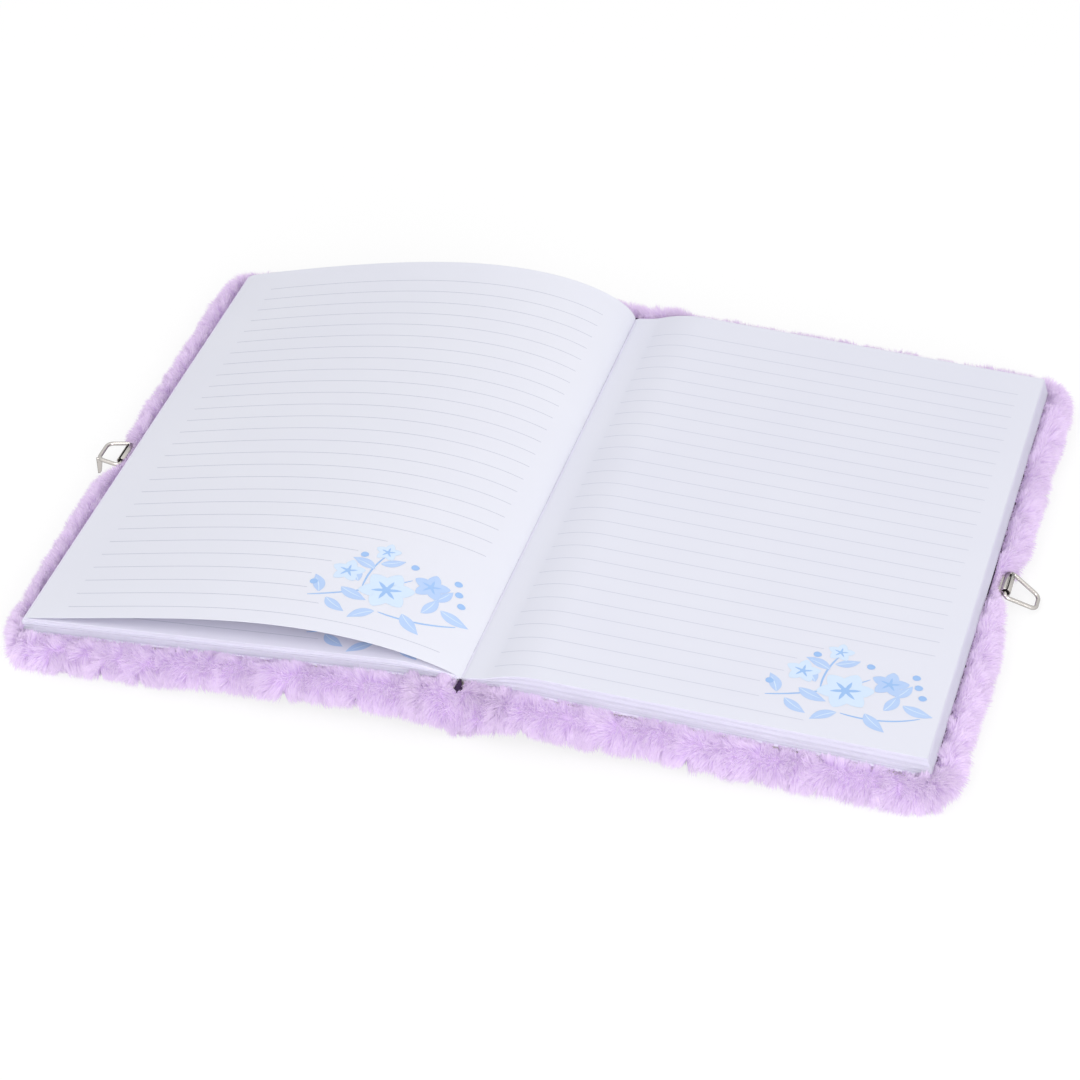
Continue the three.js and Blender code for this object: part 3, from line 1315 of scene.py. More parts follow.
class Profile:
    """A cross-section: a line of corners, rounded off, that is looked up by length."""

    def __init__(self, corners: np.ndarray, count: int = 60, rounds: int = 3) -> None:
        """Rounds the line and measures it.

        Args:
            corners: The corners, one to a row, mm.
            count: Number of points kept.
            rounds: How often the corners are cut.
        """
        self.line = rounded_line(corners, count, rounds)
        step = np.linalg.norm(np.diff(self.line, axis=0), axis=1)
        self.run = np.r_[0, np.cumsum(step)]
        self.lead = unit(np.gradient(self.line, axis=0))

    @property
    def span(self) -> Span:
        """The range of lengths."""
        return 0.0, float(self.run[-1])

    def at(self, b: np.ndarray) -> tuple[np.ndarray, ...]:
        """Both coordinates at lengths along the line, and both parts of its direction."""
        columns = (*self.line.T, *self.lead.T)
        return tuple(np.interp(b, self.run, column) for column in columns)


class Patch:
    """A stretch of backing as a function of two lengths, from which strands grow."""

    def __init__(self, a: Span, b: Span) -> None:
        """Keeps the ranges of both lengths, mm."""
        self.a = a
        self.b = b

    def frame(self, a: np.ndarray, b: np.ndarray) -> tuple[np.ndarray, ...]:
        """Describes the backing at some places.

        Args:
            a: First lengths, mm.
            b: Second lengths.

        Returns:
            Point, normal, direction along the first length, direction along the second one,
            and the share of its full length that the pile has there.
        """
        raise NotImplementedError

    def surface(self, rows: int, columns: int) -> np.ndarray:
        """Gives the backing itself, as a grid of points."""
        a, b = lattice(self.a, self.b, rows, columns)
        return self.frame(a.ravel(), b.ravel())[0].reshape(rows, columns, 3)


@dataclass(frozen=True)
class Coat:
    """How the pile stands on one stretch of plush: its strands, its seed and its sizes.

    Length, width, lowest height, the spacing of tufts and the sizes of waves are in mm. The
    swirl is in half turns, and a tuft's own turn in radians. The rest are shares.
    """

    name: str
    count: int
    seed: int
    length: float = 4.6
    width: float = 0.25
    lean: float = 0.7
    curl: float = 0.38
    tuft: float = 2.6
    swirl: float = 1.2
    swirl_size: float = 30.0
    tuft_turn: float = 1.3
    tilt_size: float = 21.0
    lengths: Span = (0.78, 1.08)
    loose: float = 0.17
    sway: float = 0.25
    gather: float = 0.32
    lowest: float = 0.12
    fine: bool = True

    def tufts(self, a: np.ndarray, b: np.ndarray) -> tuple[np.ndarray, ...]:
        """Finds the nearest tuft of each strand.

        A grid of cells holds one tuft in each, at a place that a hash of the cell gives, and
        the nine cells around a strand are looked at. The hash is what a large sine has after
        its decimal point.

        Args:
            a: First lengths of the strands, mm.
            b: Second lengths.

        Returns:
            Both lengths of each strand's tuft, and a number from 0 to 1 that marks it.
        """
        cell = self.tuft
        ia, ib = np.floor(a / cell).astype(int), np.floor(b / cell).astype(int)
        best = np.full(len(a), 1e9)
        ca, cb, tag = np.zeros((3, len(a)))
        for da in (-1, 0, 1):
            for db in (-1, 0, 1):
                ja, jb = ia + da, ib + db
                mixed = np.sin(ja * 12.9898 + jb * 78.233 + self.seed) * 43758.5453
                first = mixed - np.floor(mixed)
                second = first * 57.31 - np.floor(first * 57.31)
                ta, tb = (ja + first) * cell, (jb + second) * cell
                away = (ta - a) ** 2 + (tb - b) ** 2
                near = away < best
                best = np.where(near, away, best)
                ca, cb = np.where(near, ta, ca), np.where(near, tb, cb)
                tag = np.where(near, first * 91.7 - np.floor(first * 91.7), tag)
        return ca, cb, tag

    def blades(self, patch: Patch) -> tuple[np.ndarray, np.ndarray]:
        """Works out the strands as tapered blades.

        Strands are scattered evenly. Each leans with its tuft and towards the tuft's middle,
        so that the tips close up as on real plush. Its middle line starts along the normal
        and bends aside with the square of the way along. Its width shrinks to a point.

        Args:
            patch: Where the pile grows.

        Returns:
            The points, mm, and their attribute (way along, own shade, tuft's shade, 1), both
            as strands by points by parts.
        """
        rng = np.random.default_rng(self.seed)
        n = self.count
        a = rng.uniform(*patch.a, n)
        b = rng.uniform(*patch.b, n)
        ca, cb, tag = self.tufts(a, b)
        point, normal, along, across, share = patch.frame(a, b)
        away_a = np.clip(ca - a, -self.tuft, self.tuft)
        away_b = np.clip(cb - b, -self.tuft, self.tuft)
        waves = wander(ca, cb, self.swirl_size, self.seed + 5)
        swirl = self.swirl * waves * math.pi + (tag - 0.5) * self.tuft_turn
        tilt = self.lean * (0.65 + 0.5 * wander(ca, cb, self.tilt_size, self.seed + 9))
        side = along * np.cos(swirl)[:, None] + across * np.sin(swirl)[:, None]
        aside = side * tilt[:, None]
        loose = rng.normal(0, self.loose, (n, 3))
        toward = (along * away_a[:, None] + across * away_b[:, None]) / self.tuft
        length = self.length * share * rng.uniform(*self.lengths, n) * (0.93 + 0.14 * tag)
        length = length[:, None]
        start = unit(normal + aside * 0.6 + across * self.sway + loose)
        pull = self.curl * (aside + toward * self.gather + across * self.sway)
        blade = unit(np.cross(start, unit(rng.normal(0, 1, (n, 3)))))
        own = rng.uniform(0, 1, n)
        steps = ((0.0, 0.85), (0.4, 1.0), (0.75, 0.62)) if self.fine else ((0.0, 0.9), (0.55, 0.8))
        rows = []
        shades = []
        for way, width in steps:
            middle = point + length * (start * way + pull * way**2)
            half = blade * (self.width * width / 2)
            rows += [middle - half, middle + half]
            shades += [way, way]
        rows.append(point + length * (start + pull))
        shades.append(1.0)
        points = np.stack(rows, 1)
        points[..., 2] = np.maximum(points[..., 2], self.lowest + 0.1 * own[:, None])
        strand = np.ones((n, len(shades), 4), np.float32)
        strand[..., 0] = np.array(shades)[None]
        strand[..., 1] = own[:, None]
        strand[..., 2] = tag[:, None]
        return points, strand

    def grow(self, patch: Patch, pile: bpy.types.Material) -> bpy.types.Object:
        """Grows the pile of a patch. A blade is a strip of triangles that ends in one.

        Args:
            patch: Where the pile grows.
            pile: Its material.

        Returns:
            The mesh object, in the row frame.
        """
        points, strand = self.blades(patch)
        n, per = points.shape[:2]
        triangles = []
        for k in range(0, per - 3, 2):
            triangles += [[k, k + 1, k + 3], [k, k + 3, k + 2]]
        triangles.append([per - 3, per - 2, per - 1])
        first = (np.arange(n) * per)[:, None, None]
        triangles = (first + np.array(triangles)[None]).reshape(-1, 3)
        data = bpy.data.meshes.new(self.name)
        data.vertices.add(n * per)
        data.vertices.foreach_set("co", (points * MM).astype(np.float32).ravel())
        data.loops.add(triangles.size)
        data.loops.foreach_set("vertex_index", triangles.astype(np.int32).ravel())
        data.polygons.add(len(triangles))
        data.polygons.foreach_set("loop_start", np.arange(0, triangles.size, 3, dtype=np.int32))
        data.update(calc_edges=True)
        attribute = data.attributes.new("strand", "FLOAT_COLOR", "POINT")
        attribute.data.foreach_set("color", strand.ravel())
        data.materials.append(pile)
        LOG.info("%s: %d strands, %d triangles", self.name, n, len(triangles))
        return link(self.name, data)


@dataclass(frozen=True)
class RimSizes:
    """Where the turned edge of a half departs from its plain shape, in mm or as shares."""

    waist: float
    fore_in: float
    fore_in_tail: float
    head_in: float
    corner_in: float
    sag: float
    sag_gutter: float
    bare_shift: float
    head_short: float


class Rim(Patch):
    """The turned edge of a cover: along the cover's outline, and across its rim."""

    # Radius of the outline's corners, its start outside the leaf pivot, and its reach past
    # the page's fore edge
    CORNER = 14.0
    START = 5.4
    BEYOND = 11.0
    # Height and length of the soft waves in the outline
    WAVE = 0.55
    WAVE_SIZE = 46.0
    # Height and length of the ripples on the rim's outer side
    RIPPLE = 0.35
    RIPPLE_SIZE = 19.0
    # Share by which the head edge hangs less deep
    HEAD_LIFT = 0.12
    # Half the width of the waist at the wire loop, and of the short pile there
    LOOP_WAIST = 17.0
    LOOP_BARE = 9.6
    SIZES = {
        Side.FRONT: RimSizes(
            waist=2.4,
            fore_in=0.9,
            fore_in_tail=1.9,
            head_in=1.3,
            corner_in=2.4,
            sag=0.16,
            sag_gutter=0.4,
            bare_shift=2.5,
            head_short=0.0,
        ),
        Side.BACK: RimSizes(
            waist=2.7,
            fore_in=0.35,
            fore_in_tail=0.0,
            head_in=1.7,
            corner_in=0.0,
            sag=0.27,
            sag_gutter=0.0,
            bare_shift=0.0,
            head_short=0.06,
        ),
    }

    def __init__(self, half: Half, a: Span | None = None) -> None:
        """Works out the lengths of the outline's stretches.

        Args:
            half: The half it belongs to.
            a: The stretch along the outline, or None for all of it.
        """
        self.half = half
        self.sizes = self.SIZES[half.side]
        self.profile = Profile(EDGE_CORNERS)
        self.flat = half.edge + self.BEYOND - self.CORNER - self.START
        self.bow = self.CORNER * math.pi / 2
        self.fore = 2 * (PLUSH_Y - self.CORNER)
        self.total = 2 * self.flat + 2 * self.bow + self.fore
        self.loop_at = self.flat + self.bow + self.fore / 2 + LOOP_Y
        super().__init__(a or (0.0, self.total), self.profile.span)

    def outline(self, a: np.ndarray) -> tuple[np.ndarray, ...]:
        """Gives the outer line: the tail edge, a round corner, the fore edge and the same back.

        Args:
            a: Lengths along the outline, from the gutter's tail end, mm.

        Returns:
            The place as u and y, and the inward direction as u and y.
        """
        r = self.CORNER
        c1 = self.flat
        c2 = c1 + self.bow
        c3 = c2 + self.fore
        c4 = c3 + self.bow
        t1 = np.clip((a - c1) / r, 0, math.pi / 2)
        t2 = np.clip((a - c3) / r, 0, math.pi / 2)
        angle = -math.pi / 2 + t1 + t2
        u = self.START + np.clip(a, 0, c1) - np.clip(a - c4, 0, None)
        u = u + r * (np.sin(t1) - (1 - np.cos(t2)))
        y = -PLUSH_Y + r * (1 - np.cos(t1)) + np.clip(a - c2, 0, self.fore) + r * np.sin(t2)
        return u, y, -np.cos(angle), -np.sin(angle)

    def drawn_in(self, a: np.ndarray) -> np.ndarray:
        """Gives how far the outline is drawn in.

        It is a bell curve at the wire loop, soft random waves, and a distance of its own for
        the fore edge, the head edge and the tail corner.

        Args:
            a: Lengths along the outline, mm.

        Returns:
            The distances, mm.
        """
        sizes = self.sizes
        _, y, iu, iy = self.outline(a)
        waves = self.WAVE * wander(a, 0 * a, self.WAVE_SIZE, seed=31 + self.half.side.value)
        waist = sizes.waist * bell(a - self.loop_at + 2, self.LOOP_WAIST) + waves
        near_tail = smooth((-y - 20) / 70)
        fore = iu**2 * (sizes.fore_in + sizes.fore_in_tail * near_tail)
        head = np.clip(-iy, 0, 1) ** 2 * sizes.head_in
        corner = sizes.corner_in * (2 * iu * iy) ** 2 * (iy > 0)
        return waist + (fore + head + corner)

    def height(self, a: np.ndarray, b: np.ndarray, w: np.ndarray, outer: np.ndarray) -> np.ndarray:
        """Gives the profile's heights as they hang in the open book.

        The tail edge hangs deeper and the head edge less deep, by shares that fade out on the
        outer face, and soft random waves are added.

        Args:
            a: Lengths along the outline, mm.
            b: Lengths along the profile.
            w: The profile's plain heights.
            outer: 1 on the outer side of the rim and 0 on the inner lip.

        Returns:
            The heights, mm.
        """
        u, _, _, iy = self.outline(a)
        tail, head = np.clip(iy, 0, 1) ** 2, np.clip(-iy, 0, 1) ** 2
        sag = self.sizes.sag + self.sizes.sag_gutter * bell(u, width=24)
        level = 1 - smooth((b / self.b[1] - 0.72) / 0.26)
        ripple = self.RIPPLE * wander(a, b, self.RIPPLE_SIZE, seed=44) * outer
        return w * (1 + (sag * tail - self.HEAD_LIFT * head) * level) + ripple

    def shares(self, a: np.ndarray, b: np.ndarray) -> np.ndarray:
        """Gives the pile's share of length: short at the lip, the outer face and the loop.

        Args:
            a: Lengths along the outline, mm.
            b: Lengths along the profile.

        Returns:
            The shares.
        """
        inner = smooth((b - 1.4) / 3.8)
        under = smooth((b - 0.62 * self.b[1]) / (0.2 * self.b[1]))
        share = 0.3 + 0.7 * inner - 0.3 * under
        from_loop = a - (self.loop_at - self.sizes.bare_shift)
        share = share * (1 - 0.7 * bell(from_loop, self.LOOP_BARE, 4))
        head = np.clip(-self.outline(a)[3], 0, 1) ** 2
        return share * (1 - self.sizes.head_short * head)

    def frame(self, a: np.ndarray, b: np.ndarray) -> tuple[np.ndarray, ...]:
        """Describes the rim: the profile, carried round the outline.

        Args:
            a: Lengths along the outline, mm.
            b: Lengths along the profile.

        Returns:
            What Patch.frame returns.
        """
        u, y, iu, iy = self.outline(a)
        d, w, td, tw = self.profile.at(b)
        outer = smooth((9.0 - d) / 5)
        d = d + self.drawn_in(a) * outer
        half = self.half
        point = half.place(u + iu * d, y + iy * d, self.height(a, b, w, outer))
        normal = half.turn(iu * tw, iy * tw, -td)
        across = half.turn(iu * td, iy * td, tw)
        along = unit(np.cross(across, normal))
        return point, unit(normal), along, across, self.shares(a, b)


class Under(Patch):
    """The flat outer face of a cover, inside its rim."""

    def __init__(self, half: Half) -> None:
        """Keeps the half."""
        self.half = half
        super().__init__((5.6, half.edge + 1.0), (-FACE_Y, FACE_Y))

    def frame(self, a: np.ndarray, b: np.ndarray) -> tuple[np.ndarray, ...]:
        """Describes the face: a plane with soft random waves.

        Args:
            a: Distances from the leaf pivot, mm.
            b: Places along the cover.

        Returns:
            What Patch.frame returns.
        """
        half = self.half
        level = EDGE_CORNERS[-1][1]
        point = half.place(a, b, level + 0.3 * wander(a, b, size=27, seed=61))
        zero, one = 0 * a, 1 + 0 * a
        down = half.turn(zero, zero, -one)
        out = half.turn(one, zero, zero)
        across = half.turn(zero, one, zero)
        return point, down, out, across, 0.85 * one


class Roll(Patch):
    """Half of the plush roll under the spine, as a rounded bar with closed ends."""

    CORNERS = (
        (0.0, 13.1),
        (6.6, 13.1),
        (6.9, 14.6),
        (9.0, 14.6),
        (9.6, 12.0),
        (10.2, 7.4),
        (15.5, 6.6),
        (17.6, 5.2),
        (17.6, 3.8),
        (14.5, 3.0),
        (0.0, 3.0),
    )
    NARROW = {Side.FRONT: 0.95, Side.BACK: 1.0}
    # Over the last of its length the roll is lifted below its waist, and drawn in
    TAPER = 16.0
    WAIST = 9.5
    END_LIFT = 0.48
    END_DRAWN_IN = 0.22

    def __init__(self, side: Side) -> None:
        """Works out the cross-section of one half.

        Args:
            side: The half.
        """
        self.side = side
        corners = np.array(self.CORNERS) * [self.NARROW[side], 1.0]
        self.profile = Profile(corners, count=90, rounds=2)
        self.reach = PLUSH_Y - 3.6
        super().__init__((-self.reach, self.reach), self.profile.span)

    def frame(self, a: np.ndarray, b: np.ndarray) -> tuple[np.ndarray, ...]:
        """Describes the roll: the cross-section, which shrinks towards both ends.

        Args:
            a: Places along the spine, mm.
            b: Lengths along the cross-section, from its top.

        Returns:
            What Patch.frame returns.
        """
        s = self.side.value
        x, z, tx, tz = self.profile.at(b)
        end = smooth((np.abs(a) - (self.reach - self.TAPER)) / self.TAPER)
        lifted_z = self.WAIST + (z - self.WAIST) * (1 - self.END_LIFT * end)
        z = np.where(z < self.WAIST, lifted_z, z)
        x = x * (1 - self.END_DRAWN_IN * end)
        flat = 0 * x
        point = np.stack([s * x, a + flat, z], -1)
        normal = np.stack([-s * tz, flat + np.sign(a) * 0.5 * end, tx], -1)
        across = np.stack([s * tx, flat, tz], -1)
        along = np.stack([flat, 1 + flat, flat], -1)
        top = (z > 11.5) | ((z > 7.6) & (x > 9.0))
        share = np.where(top, 0.5, 0.8 - 0.25 * (z < 3.4))
        return point, unit(normal), along, across, share


class Bridge(Patch):
    """The plush across the spine's end, which carries the rim of one cover to the other."""

    REACH = {Side.FRONT: 15.0, Side.BACK: 16.3}
    HEIGHT = 16.0
    # How deep the profile hangs, in shares of its height: everywhere, and more at the middle
    DEPTH = {End.TAIL: (1.35, 0.95), End.HEAD: (1.2, 0.7)}

    def __init__(self, side: Side, end: End) -> None:
        """Keeps which half of which end it is.

        Args:
            side: The half.
            end: The end.
        """
        self.side = side
        self.end = end
        self.profile = Profile(EDGE_CORNERS)
        self.deep, self.deeper = self.DEPTH[end]
        super().__init__((0.0, self.REACH[side]), self.profile.span)

    def frame(self, a: np.ndarray, b: np.ndarray) -> tuple[np.ndarray, ...]:
        """Describes the bridge.

        The rim's profile hangs deeper towards the middle, by a bell curve, and has a groove
        at its top that bares the dark band, whose colour is partly painted shadow of the hollow.

        Args:
            a: Distances from the middle plane, mm.
            b: Lengths along the profile.

        Returns:
            What Patch.frame returns.
        """
        s = self.side.value
        e = self.end.value
        d, w, td, tw = self.profile.at(b)
        hang = bell(a - 0.8 * s, width=8.0)
        groove = bell(a, width=1.7) * smooth((d - 4.5) / 3) * (w > -2)
        d = d + 0.7 * hang * smooth((9.0 - d) / 5)
        raised = 0.95 * smooth((d - 7) / 3) * smooth((9.5 - a) / 4)
        w = w * (self.deep + self.deeper * hang) - 1.6 * groove + raised
        flat = 0 * a
        point = np.stack([s * a, e * (PLUSH_Y - d), self.HEIGHT + w], -1)
        rise = np.where(w > -2, np.abs(td), -td)
        normal = np.stack([flat, -e * tw, rise], -1)
        across = np.stack([flat, -e * td, tw], -1)
        along = np.stack([s + flat, flat, flat], -1)
        share = (0.6 + 0.4 * smooth((b - 1.2) / 3.0)) * (1 - 0.8 * groove)
        return point, unit(normal), along, across, share


@dataclass
class CoverPlush:
    """The plush of one cover: a padded shell that wraps the board, and its pile."""

    half: Half
    finishes: Finishes
    tail_strands: int = 38000
    fore_strands: int = 30000
    head_strands: int = 26000
    face_strands: int = 56000
    face_length: float = 4.4
    face_width: float = 0.44
    face_w: float = -5.7
    lip: float = 10.9
    first_seed: int = 200
    # The strip that closes the shell inside its lip, a dark line of painted shadow along the gap
    # between the block and the pile, as (distance from the lip, w)
    strip: tuple[Span, ...] = ((0.0, -0.1), (0.1, 0.16), (0.35, 0.14), (0.45, -0.2))

    def build(self) -> None:
        """Builds the shell and the pile of each stretch."""
        self.shell()
        half = self.half
        rim = Rim(half)
        corner = rim.flat + rim.bow / 2
        middle = rim.total / 2
        seed = self.first_seed + 100 * half.side.value
        stretches = (
            ("tail_edge", (0.0, corner), self.tail_strands, True),
            ("fore_edge_low", (corner, middle), self.fore_strands, True),
            ("fore_edge_high", (middle, rim.total - corner), self.fore_strands, True),
            ("head_edge", (rim.total - corner, rim.total), self.head_strands, False),
        )
        for i, (name, stretch, count, fine) in enumerate(stretches, 1):
            coat = Coat(f"{half.name}_pile_{name}", count, seed + i, fine=fine)
            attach(coat.grow(Rim(half, stretch), self.finishes.pile), half.cover)
        coat = Coat(
            f"{half.name}_pile_outer_face",
            self.face_strands,
            seed + 5,
            length=self.face_length,
            width=self.face_width,
            fine=False,
        )
        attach(coat.grow(Under(half), self.finishes.pile), half.cover)

    def shell(self) -> None:
        """Builds the padded shell: the rim, a face under the board, and the closing strip, whose
        dark finish is painted shadow of the gap at the lip.
        """
        half = self.half
        rim = Rim(half)
        into = Surface()
        into.grid(rim.surface(rows=260, columns=34))
        out = (rim.START, half.edge + 1.0)
        u, y = lattice(out, (-FACE_Y, FACE_Y), rows=30, columns=40)
        face = half.place(u, y, np.full_like(u, self.face_w))
        into.grid(face, flip=half.side is Side.BACK)
        u, y, iu, iy = rim.outline(np.linspace(*rim.a, 260))
        lip = self.lip - 1.75 * np.abs(iu) ** 3
        sunk = 1.2 * (1 - iu**2)
        lines = []
        for d, w in self.strip:
            lines.append(half.place(u + iu * (lip - d), y + iy * (lip - d), w - sunk))
        # The strip takes the dark band's finish as painted shadow along the gap between the block
        # and the pile
        into.grid(np.stack(lines, 1), 1)
        slots = [self.finishes.backing, self.finishes.band]
        made = into.build(f"{half.name}_cover_padding", slots)
        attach(made, half.cover)
        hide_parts(f"{half.name}_cover_plush")


@dataclass
class SpinePlush:
    """The plush over the spine, which bunches to a roll under the open book."""

    finishes: Finishes
    roll_strands: int = 36000
    roll_width: float = 0.32
    bridge_strands: int = 5400
    first_seed: int = 901

    def build(self) -> None:
        """Builds both halves of the roll, with their bridges and their pile."""
        for seed, side in enumerate(Side, self.first_seed):
            self.shell(side)
            name = f"spine_pile_{side.word}"
            coat = Coat(name, self.roll_strands, seed, width=self.roll_width, fine=False)
            self.bend(coat.grow(Roll(side), self.finishes.pile), side)
            for end in End:
                end_seed = seed + 10 * end.value + 30
                fine = end is End.TAIL
                coat = Coat(f"{name}_{end.word}", self.bridge_strands, end_seed, fine=fine)
                self.bend(coat.grow(Bridge(side, end), self.finishes.pile), side)

    def shell(self, side: Side) -> None:
        """Builds the padded shell of one half: the roll, its two closed ends and the bridges.

        Args:
            side: The half.
        """
        front = side is Side.FRONT
        roll = Roll(side).surface(rows=90, columns=60)
        into = Surface()
        into.grid(roll, flip=front)
        for row, flip in ((roll[0], not front), (roll[-1], front)):
            middle = np.broadcast_to([0.0, row[0, 1], 8.0], row.shape)
            into.grid(np.stack([row, (row + middle) / 2, middle], 1), flip=flip)
        for end in End:
            bridge = Bridge(side, end).surface(rows=20, columns=34)
            into.grid(bridge, flip=side.value * end.value > 0)
        made = into.build(f"spine_padding_{side.word}", [self.finishes.backing])
        self.bend(made, side)
        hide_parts("spine_plush")

    def bend(self, made: bpy.types.Object, side: Side) -> None:
        """Bakes a piece's placement into its mesh.

        Args:
            made: The piece.
            side: The half it belongs to.
        """
        cover = side.word + "_cover"
        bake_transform(made)


# Spine


@dataclass
class SpineParts:
    """What joins the gatherings at the spine: glue, bands and stitches.

    A band stands between two heights, and leans out and widens towards its foot. The thread
    dives into the paper over a short run at both ends of a stitch.
    """

    finishes: Finishes
    glue_x: Span = (-6.4, 7.7)
    glue_y: float = 104.6
    glue_low: float = 15.72
    glue_high: float = 15.92
    gathering: float = 1.34
    fold_x: float = 0.75
    fold_z: float = 16.95
    band_foot: float = 14.6
    band_height: float = 2.55
    band_lean: float = 3.9
    band_widening: float = 1.6
    thread: float = 0.17
    thread_z: float = 17.08
    dive: float = 0.6
    dive_run: float = 0.9
    runs: tuple[Span, ...] = ((-92, -75), (-60, -41), (-25, -5), (12, 37), (56, 73), (80, 93))

    def build(self) -> None:
        """Builds the glued backs, the two bands and the stitches."""
        self.backs()
        for end in (End.HEAD, End.TAIL):
            self.band(end)
        self.stitches()

    def backs(self) -> None:
        """Builds the glued backs, with a ridge for each fold, and the opened fold over them.

        A ridge is the absolute value of a sine across the spine, with random waves.
        """
        x, y = lattice(self.glue_x, (-self.glue_y, self.glue_y), rows=60, columns=80)
        ridge = 0.12 * np.abs(np.sin(x * math.pi / self.gathering))
        ridge = ridge + 0.05 * wander(x, y, size=9, seed=77)
        top = np.stack([x, y, self.glue_high + ridge], -1)
        low = np.stack([x, y, np.full_like(x, self.glue_low)], -1)
        into = Surface()
        into.slab(top, low)
        width, page = (-self.fold_x, self.fold_x), (-HALF_PAGE, HALF_PAGE)
        x, y = lattice(width, page, rows=9, columns=80)
        fold = np.stack([x, y, self.fold_z + 0.55 * np.abs(x)], -1)
        into.slab(fold, fold - [0, 0, 0.12], 1)
        # The opened fold takes the paper lightened by painted bounce light
        made = into.build("glued_backs", [self.finishes.glue, self.finishes.block_paper])
        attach(made, "spine")
        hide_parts("folded_backs")

    def band(self, end: End) -> None:
        """Builds the dark band that closes the hollow at one end. Its dark colour is partly the
        band's cloth and partly painted shadow of the hollow.

        Its width and its lean outwards fall with height, and its face is half an ellipse in
        section, with the waves of its cord.

        Args:
            end: The end.
        """
        name = end.word + "_band"
        e = end.value
        t, v = lattice((0, 1), (-1, 1), rows=18, columns=15)
        width = 0.25 + self.band_widening * (1 - t)
        lean = HALF_PAGE + 0.3 + self.band_lean * (1 - t)
        depth = 0.5 * np.sqrt(np.clip(1 - v**2, 0, 1)) + 0.05 * np.sin(t * 30)
        z = self.band_foot + self.band_height * t
        face = np.stack([v * width, e * (lean + depth), z], -1)
        back = np.stack([v * width, e * (lean - 0.2), z - 0.2], -1)
        into = Surface()
        into.slab(face, back)
        made = into.build(name + "_cloth", [self.finishes.band])
        outward(made)
        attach(made, "spine")
        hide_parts(name)

    def stitches(self) -> None:
        """Builds the runs of thread in the opened fold.

        A run is a round tube along a line that wavers a little, and whose ends dive into the
        paper by a parabola.
        """
        into = Surface()
        t = np.linspace(0, 1, 26)
        ring = np.linspace(0, 2 * math.pi, 9)[:-1, None]
        flat = 0 * t
        for start, stop in self.runs:
            y = start + (stop - start) * t
            from_end = np.minimum(t, 1 - t) * (stop - start)
            dive = np.clip(1 - from_end / self.dive_run, 0, 1) ** 2
            z = self.thread_z - self.dive * dive + 0.04 * np.sin(y * 9)
            middle = np.stack([0.05 * np.sin(y * 1.7), y, z], -1)
            around = np.stack([np.cos(ring) + flat, 0 * ring + flat, np.sin(ring) + flat], -1)
            into.grid(middle + self.thread * around, closed=True)
        made = into.build("stitches", [self.finishes.thread])
        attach(made, "spine")
        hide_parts("sewing_thread")


# Metal


